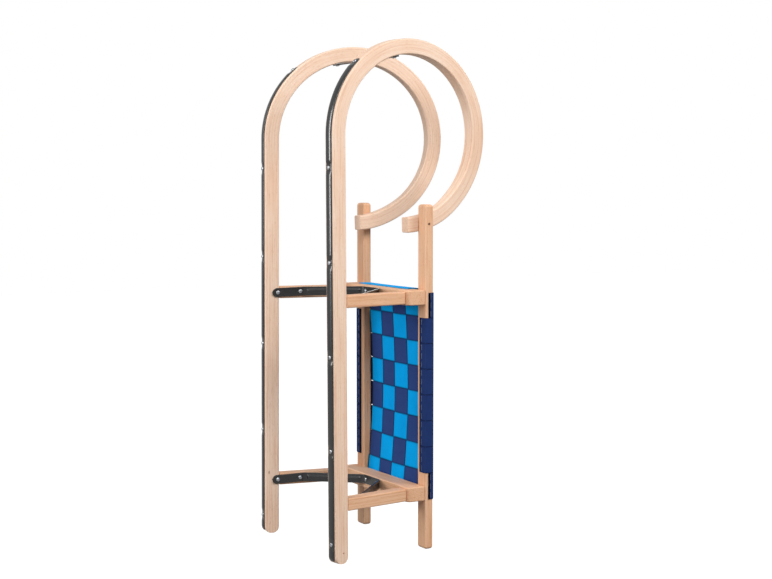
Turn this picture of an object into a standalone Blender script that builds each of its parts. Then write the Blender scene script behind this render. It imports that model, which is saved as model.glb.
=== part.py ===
# Horn sled standing on its tails. +Z is the sled's forward direction,
# +Y points from the runner soles to the seat, +X is the sled's left side.
# The floor is z = 0. All lengths are in metres.
import bmesh
import bpy
from math import cos, pi, radians, sin, sqrt
from mathutils import Matrix, Vector

# Driving sizes: runner and horn, one bent piece on each side
RUNNER_WIDTH = 0.026
RUNNER_DEPTH = 0.030
RUNNER_ROUND = 0.0028
RUNNER_LEAN = radians(9.2)
RUNNER_HALF_TRACK = 0.1543
RUNNER_TOE_IN = 0.011
TAIL_RADIUS = 0.013
HORN_START_Z = 0.812
HORN_RADIUS_V = 0.191
HORN_RADIUS_Z = 0.188
HORN_END_ANGLE = radians(268.2)
HORN_SKEW = 0.0013
HORN_PULL = 0.0184
HORN_FLAT_FROM = radians(225)
HORN_FLAT_TO = radians(262)
TAIL_HOLE_RADIUS = 0.0022
TAIL_HOLE_DEPTH = 0.006
TAIL_HOLE_V = 0.018
TAIL_HOLE_Z = 0.020

# Seat rails and crossbars
RAIL_WIDTH = 0.030
RAIL_THICKNESS = 0.018
RAIL_OUTER_X = 0.1415
RAIL_UNDERSIDE_Y = 0.2127
RAIL_PAST_SCREW = 0.0385
RAIL_ROUND = 0.003
CROSSBAR_DEPTH = 0.040
CROSSBAR_THICKNESS = 0.029
CROSSBAR_FRONT_Z = 0.4985
CROSSBAR_REAR_Z = 0.112
CROSSBAR_CORNER = 0.009
CROSSBAR_ROUND = 0.002
LEG_THICKNESS = 0.024
LEG_SETBACK = 0.0005
LEG_ROUND = 0.002

# Steel skids, brackets and the strut between the horns
SKID_WIDTH = 0.017
SKID_HEIGHT = 0.003
SKID_DIMPLE = 0.45
SKID_TAIL_Z = 0.006
SKID_END_ANGLE = radians(50.3)
SKID_SCREW_Z = 0.037
SKID_SCREW_PITCH = 0.1783
SKID_SCREW_COUNT = 5
SKID_TOP_SCREW_ANGLE = radians(47.6)
STRAP_WIDTH = 0.018
STRAP_THICKNESS = 0.003
STRAP_TAB_FROM = 0.015
STRAP_TAB_TO = 0.082
STRAP_FLAT_HALF = 0.032
STRAP_RISE = 0.0055
STRAP_DROP = 0.001
STRAP_BEND = 0.007
STRAP_RIB = 0.0022
STRAP_SCREW_LOW = 0.026
STRAP_SCREW_HIGH = 0.074
STRAP_SCREW_MID = 0.0235
STRUT_ANGLE = radians(78.0)
STRUT_WIDTH = 0.019
STRUT_THICKNESS = 0.0025
STRUT_OVERHANG = 0.0095

# Screws
HEAD_RADIUS = 0.0042
HEAD_HEIGHT = 0.0020
RECESS_WIDTH = 0.0011
RECESS_DEPTH = 0.0011
HORN_SCREW_RISE = 0.0083
HORN_SCREW_SHIFT = 0.0025
HORN_SCREW_HOLE = 0.0048
HORN_SCREW_SINK = 0.0050

# Webbing seat
WEBBING_THICKNESS = 0.0014
WEFT_PAST_FRONT = 0.0093
WEFT_PAST_REAR = 0.0122
WEFT_DRIFT = 0.000207
WEFT_COUNT = 8
WARP_TO_RAIL = 0.0095
WARP_COUNT = 4
WEBBING_GAP = 0.0020
STEP_INSET = 0.00036
SEAT_SAG = 0.0057
DIP_FRONT = 0.0115
DIP_REAR = 0.0150
DIP_REACH = 0.170
DIP_CROWN = 0.30
HEM_UNDER_X = 0.1260
HEM_SIDE_Y = 0.2215
FLAP_RADIUS = 0.0025
FLAP_END_Y = 0.1950

# Fits
GAP = 0.0003
STRUT_GAP = 0.0007

# Sizes that follow from the ones above
RAIL_TOP_Y = RAIL_UNDERSIDE_Y + RAIL_THICKNESS
RAIL_INNER_X = RAIL_OUTER_X - RAIL_WIDTH
CROSSBAR_TOP_Y = RAIL_UNDERSIDE_Y - GAP
CROSSBAR_FACE_Y = CROSSBAR_TOP_Y - CROSSBAR_DEPTH
HORN_SCREW_Y = RAIL_UNDERSIDE_Y + HORN_SCREW_RISE
HORN_SCREW_Z = HORN_START_Z - HORN_RADIUS_Z + RUNNER_DEPTH / 2 + HORN_SCREW_SHIFT
RAIL_LENGTH = HORN_SCREW_Z + RAIL_PAST_SCREW
WEFT_TOP_Z = CROSSBAR_FRONT_Z + WEFT_PAST_FRONT
WEFT_PITCH = (WEFT_TOP_Z - CROSSBAR_REAR_Z + WEFT_PAST_REAR) / WEFT_COUNT
WARP_PITCH = 2 * (RAIL_INNER_X - WARP_TO_RAIL) / WARP_COUNT
LAYER = (WEBBING_THICKNESS + GAP) / 2
WEB_HALF = WEBBING_THICKNESS / 2
WEFT_REST_Y = RAIL_TOP_Y + GAP + WEB_HALF
BAND_HALF = (WARP_PITCH - WEBBING_GAP) / 2

for old in list(bpy.data.objects):
    bpy.data.objects.remove(old, do_unlink=True)

part = bpy.data.collections.new("horn_sled")
helpers = bpy.data.collections.new("cutters")
bpy.context.scene.collection.children.link(part)
bpy.context.scene.collection.children.link(helpers)
datum = bpy.data.objects.new("sled_datum", None)
part.objects.link(datum)

SIDES = (("left", 1), ("right", -1))
COLOURS = {
    "wood": (0.74, 0.50, 0.33, 1.0),
    "steel": (0.035, 0.036, 0.038, 1.0),
    "zinc": (0.72, 0.73, 0.74, 1.0),
    "dark_web": (0.02, 0.045, 0.18, 1.0),
    "light_web": (0.01, 0.29, 0.72, 1.0),
}


def material_for(name, kind):
    mat = bpy.data.materials.new(name)
    mat.use_nodes = True
    shader = mat.node_tree.nodes["Principled BSDF"]
    shader.inputs["Base Color"].default_value = COLOURS[kind]
    shader.inputs["Roughness"].default_value = 0.35 if kind in ("steel", "zinc") else 0.6
    shader.inputs["Metallic"].default_value = 1.0 if kind == "zinc" else 0.0
    return mat


def finish(name, bm, kind, bevel=0.0, segments=2):
    """Turn a bmesh into a named node."""
    bm.normal_update()
    bmesh.ops.recalc_face_normals(bm, faces=bm.faces)
    mesh = bpy.data.meshes.new(name)
    bm.to_mesh(mesh)
    bm.free()
    mesh.shade_smooth()
    mesh.set_sharp_from_angle(angle=radians(35))
    return dress(bpy.data.objects.new(name, mesh), kind, bevel, segments)


def dress(obj, kind, bevel=0.0, segments=2):
    """Link a node into the sled, give it its material and round its edges."""
    part.objects.link(obj)
    obj.parent = datum
    obj.data.materials.append(material_for(obj.name, kind))
    if bevel:
        mod = obj.modifiers.new("edges", "BEVEL")
        mod.width = bevel
        mod.segments = segments
        mod.limit_method = "ANGLE"
        mod.angle_limit = radians(35)
    return obj


def drill(obj, start, end, radius, sides=20):
    """Cut a round hole from start to end with a cylinder cutter."""
    axis = end - start
    bm = bmesh.new()
    turn = axis.to_track_quat("Z", "Y").to_matrix().to_4x4()
    middle = Matrix.Translation((start + end) / 2) @ turn
    bmesh.ops.create_cone(bm, cap_ends=True, segments=sides, radius1=radius, radius2=radius,
                          depth=axis.length, matrix=middle)
    mesh = bpy.data.meshes.new(obj.name + "_cutter")
    bm.to_mesh(mesh)
    bm.free()
    cutter = bpy.data.objects.new(mesh.name, mesh)
    cutter.hide_render = True
    cutter.display_type = "WIRE"
    cutter.parent = datum
    helpers.objects.link(cutter)
    mod = obj.modifiers.new("hole", "BOOLEAN")
    mod.operation = "DIFFERENCE"
    mod.solver = "EXACT"
    mod.object = cutter


def flat_outline(name, points, thickness, kind, bevel, segments=2):
    """A filled 2D curve through the points, extruded to a thickness along its local Z."""
    curve = bpy.data.curves.new(name, "CURVE")
    curve.dimensions = "2D"
    curve.fill_mode = "BOTH"
    curve.extrude = thickness / 2
    spline = curve.splines.new("POLY")
    spline.points.add(len(points) - 1)
    for point, (x, y) in zip(spline.points, points):
        point.co = (x, y, 0.0, 1.0)
    spline.use_cyclic_u = True
    obj = bpy.data.objects.new(name, curve)
    weld = obj.modifiers.new("caps", "WELD")
    weld.merge_threshold = 0.00001
    return dress(obj, kind, bevel, segments)


def loft(bm, rings):
    """Skin a list of equal rings and close both ends."""
    rows = [[bm.verts.new(p) for p in ring] for ring in rings]
    count = len(rows[0])
    for a, b in zip(rows, rows[1:]):
        for i in range(count):
            j = (i + 1) % count
            bm.faces.new((a[i], a[j], b[j], b[i]))
    bm.faces.new(rows[0][::-1])
    bm.faces.new(rows[-1])


def smooth_step(value, low, high):
    x = min(max((value - low) / (high - low), 0.0), 1.0)
    return x * x * (3 - 2 * x)


# Runner plane: u points outwards across the runner, v up from the wood sole, z forwards
def place(side, u, v, z, pull=0.0, flat=0.0):
    lean = RUNNER_LEAN * (1 - flat)
    track = RUNNER_HALF_TRACK - RUNNER_TOE_IN * z
    x = track - v * sin(RUNNER_LEAN) - pull * cos(RUNNER_LEAN)
    y = v * cos(RUNNER_LEAN) - pull * sin(RUNNER_LEAN)
    meet = RAIL_INNER_X - GAP - RUNNER_WIDTH / 2
    x = x * (1 - flat) + meet * flat
    return Vector((side * (x + u * cos(lean)), y + u * sin(lean), z))


def horn_point(angle, depth):
    """Point in the runner plane, depth below the sole side of the bent horn."""
    v = HORN_RADIUS_V * (1 - cos(angle))
    z = HORN_START_Z + HORN_RADIUS_Z * sin(angle)
    nv = HORN_RADIUS_Z * cos(angle)
    nz = -HORN_RADIUS_V * sin(angle)
    size = sqrt(nv * nv + nz * nz)
    depth += HORN_SKEW * sin(2 * angle)
    return v + depth * nv / size, z + depth * nz / size


def horn_pull(angle):
    return HORN_PULL * (angle / (1.5 * pi)) ** 3


def horn_flat(angle):
    return smooth_step(angle, HORN_FLAT_FROM, HORN_FLAT_TO)


def rounded_section(half_u, half_v, radius, steps=2):
    """Closed list of (u, v) offsets round a rectangle with rounded corners."""
    points = []
    ru = min(radius, half_u * 0.9)
    rv = min(radius, half_v * 0.9)
    for quarter, (su, sv) in enumerate(((1, 1), (-1, 1), (-1, -1), (1, -1))):
        for k in range(steps + 1):
            a = quarter * pi / 2 + k * pi / 2 / steps
            points.append((su * (half_u - ru) + ru * cos(a), sv * (half_v - rv) + rv * sin(a)))
    return points


def make_runner(name, side):
    rings = []
    mid = RUNNER_DEPTH / 2
    for k in range(6):
        a = k * pi / 10
        half = mid - TAIL_RADIUS + TAIL_RADIUS * sin(a)
        z = TAIL_RADIUS * (1 - cos(a))
        shape = rounded_section(RUNNER_WIDTH / 2, half, RUNNER_ROUND)
        rings.append([place(side, u, mid + w, z) for u, w in shape])
    shape = rounded_section(RUNNER_WIDTH / 2, mid, RUNNER_ROUND)
    for z in (0.25, 0.53):
        rings.append([place(side, u, mid + w, z) for u, w in shape])
    steps = 54
    for k in range(steps + 1):
        angle = HORN_END_ANGLE * k / steps
        ring = []
        for u, w in shape:
            v, z = horn_point(angle, mid + w)
            ring.append(place(side, u, v, z, horn_pull(angle), horn_flat(angle)))
        rings.append(ring)
    bm = bmesh.new()
    loft(bm, rings)
    obj = finish(name, bm, "wood")
    outside = RUNNER_WIDTH / 2
    drill(obj, place(side, outside + 0.004, TAIL_HOLE_V, TAIL_HOLE_Z),
          place(side, outside - TAIL_HOLE_DEPTH, TAIL_HOLE_V, TAIL_HOLE_Z), TAIL_HOLE_RADIUS, 12)
    return obj


def sole_point(distance, out):
    """Point on the sole at a distance along it from the tail, moved outwards from the wood."""
    if distance < TAIL_RADIUS:
        a = (TAIL_RADIUS - distance) / TAIL_RADIUS
        reach = TAIL_RADIUS + out
        return TAIL_RADIUS - reach * cos(a), TAIL_RADIUS - reach * sin(a)
    if distance <= HORN_START_Z:
        return -out, distance
    angle = (distance - HORN_START_Z) / HORN_RADIUS_Z
    return horn_point(angle, -out)


def skid_screw_places():
    spots = [SKID_SCREW_Z + SKID_SCREW_PITCH * k for k in range(SKID_SCREW_COUNT)]
    return spots + [HORN_START_Z + HORN_RADIUS_Z * SKID_TOP_SCREW_ANGLE]


def make_skid(name, side):
    end = HORN_START_Z + HORN_RADIUS_Z * SKID_END_ANGLE
    flat, slope = 0.0065, 0.0125
    marks = {SKID_TAIL_Z: 0.62, SKID_TAIL_Z + 0.003: 0.9, SKID_TAIL_Z + 0.008: 1.0,
             end - 0.008: 1.0, end - 0.003: 0.9, end: 0.62}
    for spot in skid_screw_places():
        for reach in (-slope, -flat, flat, slope):
            if SKID_TAIL_Z + 0.009 < spot + reach < end - 0.009:
                marks[spot + reach] = 1.0
    for k in range(16):
        d = HORN_START_Z + (end - HORN_START_Z) * k / 16
        if min(abs(d - m) for m in marks) > 0.003:
            marks[d] = 1.0
    rings = []
    half = SKID_WIDTH / 2
    for d in sorted(marks):
        near = min(abs(d - spot) for spot in skid_screw_places())
        dome = SKID_HEIGHT * (SKID_DIMPLE + (1 - SKID_DIMPLE) * smooth_step(near, flat, slope))
        dome = dome if marks[d] == 1.0 else dome * 0.8
        w = half * marks[d]
        shape = [(w, 0), (w, dome * 0.42), (w * 0.72, dome * 0.82), (w * 0.3, dome),
                 (-w * 0.3, dome), (-w * 0.72, dome * 0.82), (-w, dome * 0.42), (-w, 0)]
        ring = []
        for u, h in shape:
            v, z = sole_point(d, GAP + h)
            ring.append(place(side, u, v, z))
        rings.append(ring)
    bm = bmesh.new()
    loft(bm, rings)
    return finish(name, bm, "steel")


def screw_head_mesh():
    """Pan head with a cross recess, top along +Z, seat at z = 0."""
    profile = ((0.0, 1.0), (0.55, 1.0), (0.86, 0.74), (1.0, 0.35), (1.0, 0.0), (0.0, 0.0))
    bm = bmesh.new()
    points = [bm.verts.new((HEAD_RADIUS * r, 0, HEAD_HEIGHT * h)) for r, h in profile]
    for a, b in zip(points, points[1:]):
        bm.edges.new((a, b))
    mesh = bpy.data.meshes.new("screw_head")
    bm.to_mesh(mesh)
    bm.free()
    head = bpy.data.objects.new("screw_head", mesh)
    turned = head.modifiers.new("turned", "SCREW")
    turned.steps = turned.render_steps = 16
    turned.use_merge_vertices = True
    turned.merge_threshold = 0.00001
    bm = bmesh.new()
    arm = HEAD_RADIUS * 1.15
    for size in ((arm, RECESS_WIDTH), (RECESS_WIDTH, arm)):
        box(bm, (-size[0] / 2, -size[1] / 2, HEAD_HEIGHT - RECESS_DEPTH),
            (size[0] / 2, size[1] / 2, HEAD_HEIGHT + RECESS_DEPTH))
    mesh = bpy.data.meshes.new("screw_cross")
    bm.to_mesh(mesh)
    bm.free()
    cross = bpy.data.objects.new("screw_cross", mesh)
    recess = head.modifiers.new("recess", "BOOLEAN")
    recess.operation = "DIFFERENCE"
    recess.solver = "EXACT"
    recess.use_self = True
    recess.object = cross
    for obj in (head, cross):
        helpers.objects.link(obj)
    graph = bpy.context.evaluated_depsgraph_get()
    result = bpy.data.meshes.new_from_object(head.evaluated_get(graph))
    for obj in (head, cross):
        bpy.data.objects.remove(obj, do_unlink=True)
    return result


def make_screw(name, seat, out, spin):
    """One screw head at its seat point, facing outwards."""
    obj = bpy.data.objects.new(name, HEAD.copy())
    turn = out.to_track_quat("Z", "Y").to_matrix().to_4x4()
    obj.matrix_local = Matrix.Translation(seat) @ turn @ Matrix.Rotation(spin, 4, "Z")
    return dress(obj, "zinc")


def plane_direction(side, dv, dz):
    """Direction in the runner plane as a vector in the row frame."""
    return (place(side, 0, dv, dz) - place(side, 0, 0, 0)).normalized()


def make_skid_screws(word, side):
    for index, d in enumerate(skid_screw_places()):
        v0, z0 = sole_point(d, 0.0)
        v1, z1 = sole_point(d, 0.01)
        seat = sole_point(d, 2 * GAP + SKID_HEIGHT * SKID_DIMPLE)
        make_screw("skid_screw_" + word + "_" + str(index + 1), place(side, 0, *seat),
                   plane_direction(side, v1 - v0, z1 - z0), 0.5 + 0.9 * index)


def box(bm, low, high):
    size = Vector(high) - Vector(low)
    centre = (Vector(high) + Vector(low)) / 2
    bmesh.ops.create_cube(bm, size=1.0, matrix=Matrix.Translation(centre) @ Matrix.Diagonal((*size, 1.0)))


HEAD = screw_head_mesh()


def make_rail(name, side):
    bm = bmesh.new()
    xs = sorted((side * RAIL_INNER_X, side * RAIL_OUTER_X))
    box(bm, (xs[0], RAIL_UNDERSIDE_Y, 0.0), (xs[1], RAIL_TOP_Y, RAIL_LENGTH))
    obj = finish(name, bm, "wood", RAIL_ROUND)
    out = Vector((side * (RAIL_OUTER_X + 0.004), HORN_SCREW_Y, HORN_SCREW_Z))
    sink = Vector((side * (RAIL_OUTER_X - HORN_SCREW_SINK), HORN_SCREW_Y, HORN_SCREW_Z))
    drill(obj, out, sink, HORN_SCREW_HOLE)
    return obj


def make_crossbar(name, centre_z):
    half, low, top, corner = RAIL_OUTER_X, CROSSBAR_FACE_Y, CROSSBAR_TOP_Y, CROSSBAR_CORNER
    outline = [(half, top), (-half, top)]
    for side in (-1, 1):
        arc = [(half - corner + corner * cos(k * pi / 8), low + corner - corner * sin(k * pi / 8))
               for k in range(5)]
        arc = arc if side == -1 else arc[::-1]
        outline += [(side * x, y) for x, y in arc]
    obj = flat_outline(name, outline, CROSSBAR_THICKNESS, "wood", CROSSBAR_ROUND)
    obj.location.z = centre_z
    return obj


def make_leg(name, side, crossbar_z):
    """A square post in the runner plane, cut level under the crossbar."""
    bm = bmesh.new()
    bmesh.ops.create_cube(bm, size=1.0)
    for vert in bm.verts:
        u = vert.co.x * RUNNER_WIDTH
        top = (CROSSBAR_FACE_Y - GAP - u * sin(RUNNER_LEAN)) / cos(RUNNER_LEAN)
        v = top if vert.co.y > 0 else RUNNER_DEPTH + GAP
        vert.co = place(side, u, v, crossbar_z - LEG_SETBACK + vert.co.z * LEG_THICKNESS)
    return finish(name, bm, "wood", LEG_ROUND)


def strap_path(tab_z):
    """Centre line of the bracket strap on the +X side, from the tab's end to the middle."""
    u = -(RUNNER_WIDTH / 2 + GAP + STRAP_THICKNESS / 2)
    tab = [place(1, u, v, tab_z) for v in (STRAP_TAB_FROM, STRAP_TAB_TO)]
    flat_y = CROSSBAR_FACE_Y - GAP - STRAP_THICKNESS / 2
    knee = Vector((STRAP_FLAT_HALF, flat_y, tab_z))
    return [Vector((p.x, p.y)) for p in (tab[0], tab[1], knee)] + [Vector((0.0, flat_y))]


def strap_stations(tab_z):
    """List of (point, normal, half width, rib) along one half of the bracket."""
    a, b, c, d = strap_path(tab_z)
    half = STRAP_WIDTH / 2
    stations = []
    along = (b - a).normalized()
    for k in range(5):
        reach = half * (1 - cos(k * pi / 8))
        width = max(half * sin(k * pi / 8), half * 0.18)
        stations.append((a + along * reach, along, width, 0.0))
    for first, knee, last in ((a, b, c), (b, c, d)):
        into, out = (knee - first).normalized(), (last - knee).normalized()
        for k in range(4):
            t = k / 3
            point = (knee - into * STRAP_BEND) * (1 - t) ** 2 + knee * (2 * t * (1 - t))
            point += (knee + out * STRAP_BEND) * t ** 2
            stations.append((point, (into * (1 - t) + out * t).normalized(), half, 0.0))
        if first is a:
            run = (last - knee).length - 2 * STRAP_BEND
            for share, rib in ((0.0, 0.0), (0.06, 1.0), (0.92, 1.0), (0.98, 0.0)):
                point = knee + out * (STRAP_BEND + run * share)
                stations.append((point, out, half, STRAP_RIB * rib))
    return stations


def make_bracket(name, tab_z):
    half_path = strap_stations(tab_z)
    top_y = CROSSBAR_FACE_Y
    rings = []

    def ring_at(side, station):
        point, along, width, rib = station
        normal = Vector((-along.y, along.x))
        rise = STRAP_RISE * min(max(point.y / top_y, 0.0), 1.0)
        across = [(-1.0, 0.0), (-0.52, 0.0), (-0.30, 1.0), (0.30, 1.0), (0.52, 0.0), (1.0, 0.0)]
        ring = []
        for face, order in ((1, across), (-1, across[::-1])):
            for w, bump in order:
                shift = normal * (face * STRAP_THICKNESS / 2 + rib * bump)
                ring.append(Vector((side * (point.x + shift.x), point.y + shift.y,
                                    tab_z + rise + w * width)))
        return ring

    for station in half_path:
        rings.append(ring_at(1, station))
    for station in half_path[::-1]:
        rings.append(ring_at(-1, station))
    bm = bmesh.new()
    loft(bm, rings)
    return finish(name, bm, "steel")


def make_bracket_screws(name, tab_z):
    lift = RUNNER_WIDTH / 2 + 2 * GAP + STRAP_THICKNESS
    for word, side in SIDES:
        inward = (place(side, -1, 0, 0) - place(side, 0, 0, 0)).normalized()
        for index, v in enumerate((STRAP_SCREW_LOW, STRAP_SCREW_HIGH)):
            rise = STRAP_RISE * v * cos(RUNNER_LEAN) / CROSSBAR_FACE_Y
            make_screw(name + "_" + word + "_" + str(index + 1), place(side, -lift, v, tab_z + rise),
                       inward, 0.4 + index)
        seat = CROSSBAR_FACE_Y - 2 * GAP - STRAP_THICKNESS
        make_screw(name + "_" + word + "_3", Vector((side * STRAP_SCREW_MID, seat, tab_z + STRAP_RISE)),
                   Vector((0, -1, 0)), 0.3 * side)


def strut_frame():
    """Centre, inward and along-curve directions of the strut at the horn's centre plane."""
    depth = RUNNER_DEPTH + STRUT_GAP + STRUT_THICKNESS / 2
    v, z = horn_point(STRUT_ANGLE, depth)
    v2, z2 = horn_point(STRUT_ANGLE, depth + 0.01)
    centre = place(1, 0, v, z, horn_pull(STRUT_ANGLE))
    inward = Vector((0, (v2 - v) * cos(RUNNER_LEAN), z2 - z)).normalized()
    return centre, inward, inward.cross(Vector((1, 0, 0)))


def make_strut(name):
    """Flat bar with round ends across the hollow sides of both horns."""
    centre, inward, along = strut_frame()
    half = STRUT_WIDTH / 2
    reach = centre.x + STRUT_OVERHANG - half
    outline = []
    for side in (1, -1):
        for k in range(9):
            a = -pi / 2 + k * pi / 8
            outline.append((side * (reach + half * cos(a)), side * half * sin(a)))
    obj = flat_outline(name, outline, STRUT_THICKNESS, "steel", 0.0004, 1)
    turn = Matrix((Vector((1, 0, 0)), along, Vector((1, 0, 0)).cross(along))).transposed()
    obj.matrix_local = Matrix.Translation((0, centre.y, centre.z)) @ turn.to_4x4()
    return obj


def make_strut_screws():
    centre, inward, along = strut_frame()
    seat = centre + inward * (STRUT_THICKNESS / 2 + GAP)
    for word, side in SIDES:
        make_screw("strut_screw_" + word, Vector((side * seat.x, seat.y, seat.z)), inward, 0.7)


def make_horn_screws():
    seat = RAIL_OUTER_X - HORN_SCREW_SINK + GAP
    for word, side in SIDES:
        make_screw("horn_end_screw_" + word, Vector((side * seat, HORN_SCREW_Y, HORN_SCREW_Z)),
                   Vector((side, 0, 0)), 0.2)


# Woven seat: lateral bands wrap the rails, long bands bend over the outer faces of the crossbars
def weft_edge(k):
    return WEFT_TOP_Z - WEFT_PITCH * k + WEFT_DRIFT * k * (WEFT_COUNT - k)


def warp_centre(column):
    return (column - (WARP_COUNT - 1) / 2) * WARP_PITCH


def seat_y(x, z):
    """Middle of the weave: sagging between the rails, pulled down towards both crossbars."""
    share = min(abs(x) / RAIL_INNER_X, 1.0) ** 2
    half = CROSSBAR_THICKNESS / 2
    front = max(0.0, 1 - max(CROSSBAR_FRONT_Z - half - z, 0.0) / DIP_REACH) ** 1.7
    rear = max(0.0, 1 - max(z - CROSSBAR_REAR_Z - half, 0.0) / DIP_REACH) ** 1.7
    sag = SEAT_SAG * (1 - share) * (1 - front) * (1 - rear)
    return WEFT_REST_Y - sag - (DIP_FRONT * front + DIP_REAR * rear) * (1 - DIP_CROWN * share)


def warp_side(row, column):
    """Layer of the longitudinal band at a crossing: -1 is the underside of the seat."""
    return -1 if (row + column) % 2 else 1


def make_band(name, rows, kind):
    """Webbing: an open surface through rows of points, thickened by Solidify."""
    bm = bmesh.new()
    grid = [[bm.verts.new(point) for point in row] for row in rows]
    for a, b in zip(grid, grid[1:]):
        for i in range(len(a) - 1):
            bm.faces.new((a[i], a[i + 1], b[i + 1], b[i]))
    obj = finish(name, bm, kind)
    mod = obj.modifiers.new("thickness", "SOLIDIFY")
    mod.thickness = WEBBING_THICKNESS
    mod.offset = 0.0
    mod.use_even_offset = True
    return obj


def wrap_path(side, at_side_face):
    """Weft path from the seat's edge over one rail, as (x, y) for the given side."""
    turn = RAIL_ROUND + GAP + WEB_HALF
    inner, outer = RAIL_INNER_X + RAIL_ROUND, RAIL_OUTER_X - RAIL_ROUND
    high, low = RAIL_TOP_Y - RAIL_ROUND, RAIL_UNDERSIDE_Y + RAIL_ROUND
    points = [(inner + turn * cos(a), high + turn * sin(a)) for a in (radians(132), radians(111), pi / 2)]
    points += [(outer + turn * sin(k * pi / 8), high + turn * cos(k * pi / 8)) for k in range(5)]
    if at_side_face:
        points.append((outer + turn, HEM_SIDE_Y))
    else:
        points += [(outer + turn * cos(k * pi / 8), low - turn * sin(k * pi / 8)) for k in range(5)]
        points.append((HEM_UNDER_X, low - turn))
    return [(side * x, y) for x, y in points]


def band_edges(row):
    """Front and rear edges of one lateral band."""
    return weft_edge(row) - WEBBING_GAP / 2, weft_edge(row + 1) + WEBBING_GAP / 2


def make_weft(name, row):
    high, low = band_edges(row)
    rows = []
    for z in (low, (low + high) / 2, high):
        points = wrap_path(-1, row in (0, WEFT_COUNT - 1))[::-1]
        for column in range(WARP_COUNT):
            level = -warp_side(row, column) * LAYER
            for x in (-BAND_HALF - STEP_INSET, -BAND_HALF / 2, 0, BAND_HALF / 2, BAND_HALF + STEP_INSET):
                x += warp_centre(column)
                points.append((x, seat_y(x, z) + level))
        points += wrap_path(1, row in (0, WEFT_COUNT - 1))
        rows.append([Vector((x, y, z)) for x, y in points])
    return make_band(name, rows, "dark_web")


def flap_path(x, crossbar_z, direction):
    """Long band's end, bent over the outer face of a crossbar, as (z, y) points."""
    face = crossbar_z + direction * (CROSSBAR_THICKNESS / 2 + GAP + WEB_HALF)
    edge = face - direction * FLAP_RADIUS
    top = seat_y(x, edge) - FLAP_RADIUS
    bend = [(edge + direction * FLAP_RADIUS * sin(k * pi / 8), top + FLAP_RADIUS * cos(k * pi / 8))
            for k in range(5)]
    return bend + [(face, FLAP_END_Y)]


def make_warp(name, column):
    rows = []
    for share in (-1.0, -0.5, 0.0, 0.5, 1.0):
        x = warp_centre(column) + share * BAND_HALF
        points = flap_path(x, CROSSBAR_FRONT_Z, 1)[::-1]
        for row in range(WEFT_COUNT):
            level = warp_side(row, column) * LAYER
            high, low = band_edges(row)
            for z in (high + STEP_INSET, (low + high) / 2, low - STEP_INSET):
                points.append((z, seat_y(x, z) + level))
        points += flap_path(x, CROSSBAR_REAR_Z, -1)
        rows.append([Vector((x, y, z)) for z, y in points])
    return make_band(name, rows, "light_web")


for word, sign in SIDES:
    make_runner("runner_" + word, sign)
    make_skid("skid_" + word, sign)
    make_skid_screws(word, sign)
    make_rail("seat_rail_" + word, sign)
    make_leg("leg_front_" + word, sign, CROSSBAR_FRONT_Z)
    make_leg("leg_rear_" + word, sign, CROSSBAR_REAR_Z)

for word, height in (("front", CROSSBAR_FRONT_Z), ("rear", CROSSBAR_REAR_Z)):
    make_crossbar("crossbar_" + word, height)
    make_bracket("bracket_" + word, height - STRAP_DROP)
    make_bracket_screws("bracket_screw_" + word, height - STRAP_DROP)

make_strut("horn_strut")
make_strut_screws()
make_horn_screws()
for index in range(WEFT_COUNT):
    make_weft("webbing_lateral_" + str(index + 1), index)
for index in range(WARP_COUNT):
    make_warp("webbing_long_" + str(index + 1), index)

# The row's origin is the middle of the sled's footprint on the floor
bpy.context.view_layer.update()
graph = bpy.context.evaluated_depsgraph_get()
reach_y = []
for obj in part.objects:
    if obj.type != "EMPTY":
        shape = obj.evaluated_get(graph)
        reach_y += [(obj.matrix_world @ vert.co).y for vert in shape.to_mesh().vertices]
        shape.to_mesh_clear()
datum.location.y = -(min(reach_y) + max(reach_y)) / 2
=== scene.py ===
# %% [markdown]
# # A wooden horn sled, standing on its tails
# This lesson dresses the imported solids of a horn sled: two bent beech runners, four posts, two
# crossbars and two seat rails, black steel fittings, zinc screws and a woven seat of flat webbing.
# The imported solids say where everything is. Each visible piece is made again in finer detail and
# takes the place of its solid, so the shape stays and the look grows.

# %% Load the frame
from math import ceil, cos, exp, hypot, pi, radians, sin, sqrt, tanh

import bmesh
import bpy
from mathutils import Matrix, Vector


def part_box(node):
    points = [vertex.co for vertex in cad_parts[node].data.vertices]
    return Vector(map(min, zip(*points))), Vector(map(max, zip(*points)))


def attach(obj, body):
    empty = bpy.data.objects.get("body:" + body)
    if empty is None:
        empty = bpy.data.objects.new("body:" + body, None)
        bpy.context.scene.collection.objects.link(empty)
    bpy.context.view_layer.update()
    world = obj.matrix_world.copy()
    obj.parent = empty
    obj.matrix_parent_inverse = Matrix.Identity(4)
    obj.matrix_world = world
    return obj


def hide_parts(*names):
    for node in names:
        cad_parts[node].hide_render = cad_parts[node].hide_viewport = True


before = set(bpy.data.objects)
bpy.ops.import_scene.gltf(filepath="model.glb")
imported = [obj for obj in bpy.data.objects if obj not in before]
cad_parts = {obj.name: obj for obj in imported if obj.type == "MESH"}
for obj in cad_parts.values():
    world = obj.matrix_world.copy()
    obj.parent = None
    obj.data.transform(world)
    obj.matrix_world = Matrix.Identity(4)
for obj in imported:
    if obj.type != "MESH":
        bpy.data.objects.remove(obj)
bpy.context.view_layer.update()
print("solids:", len(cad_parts))

# %% [markdown]
# ## Camera
# The sled is seen with a longish lens from its left side, turned 61 degrees round and a little
# above its middle. The angle between the lens and the sled decides how much of each face shows,
# so the camera comes first and everything else is judged through it.

# %% Camera
CAMERA_PLACE = Vector((2.7359, -1.5195, 0.7256))
CAMERA_LOOK = Vector((-0.8698, 0.4885, -0.0698))
CAMERA_LENS = 72.4

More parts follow.
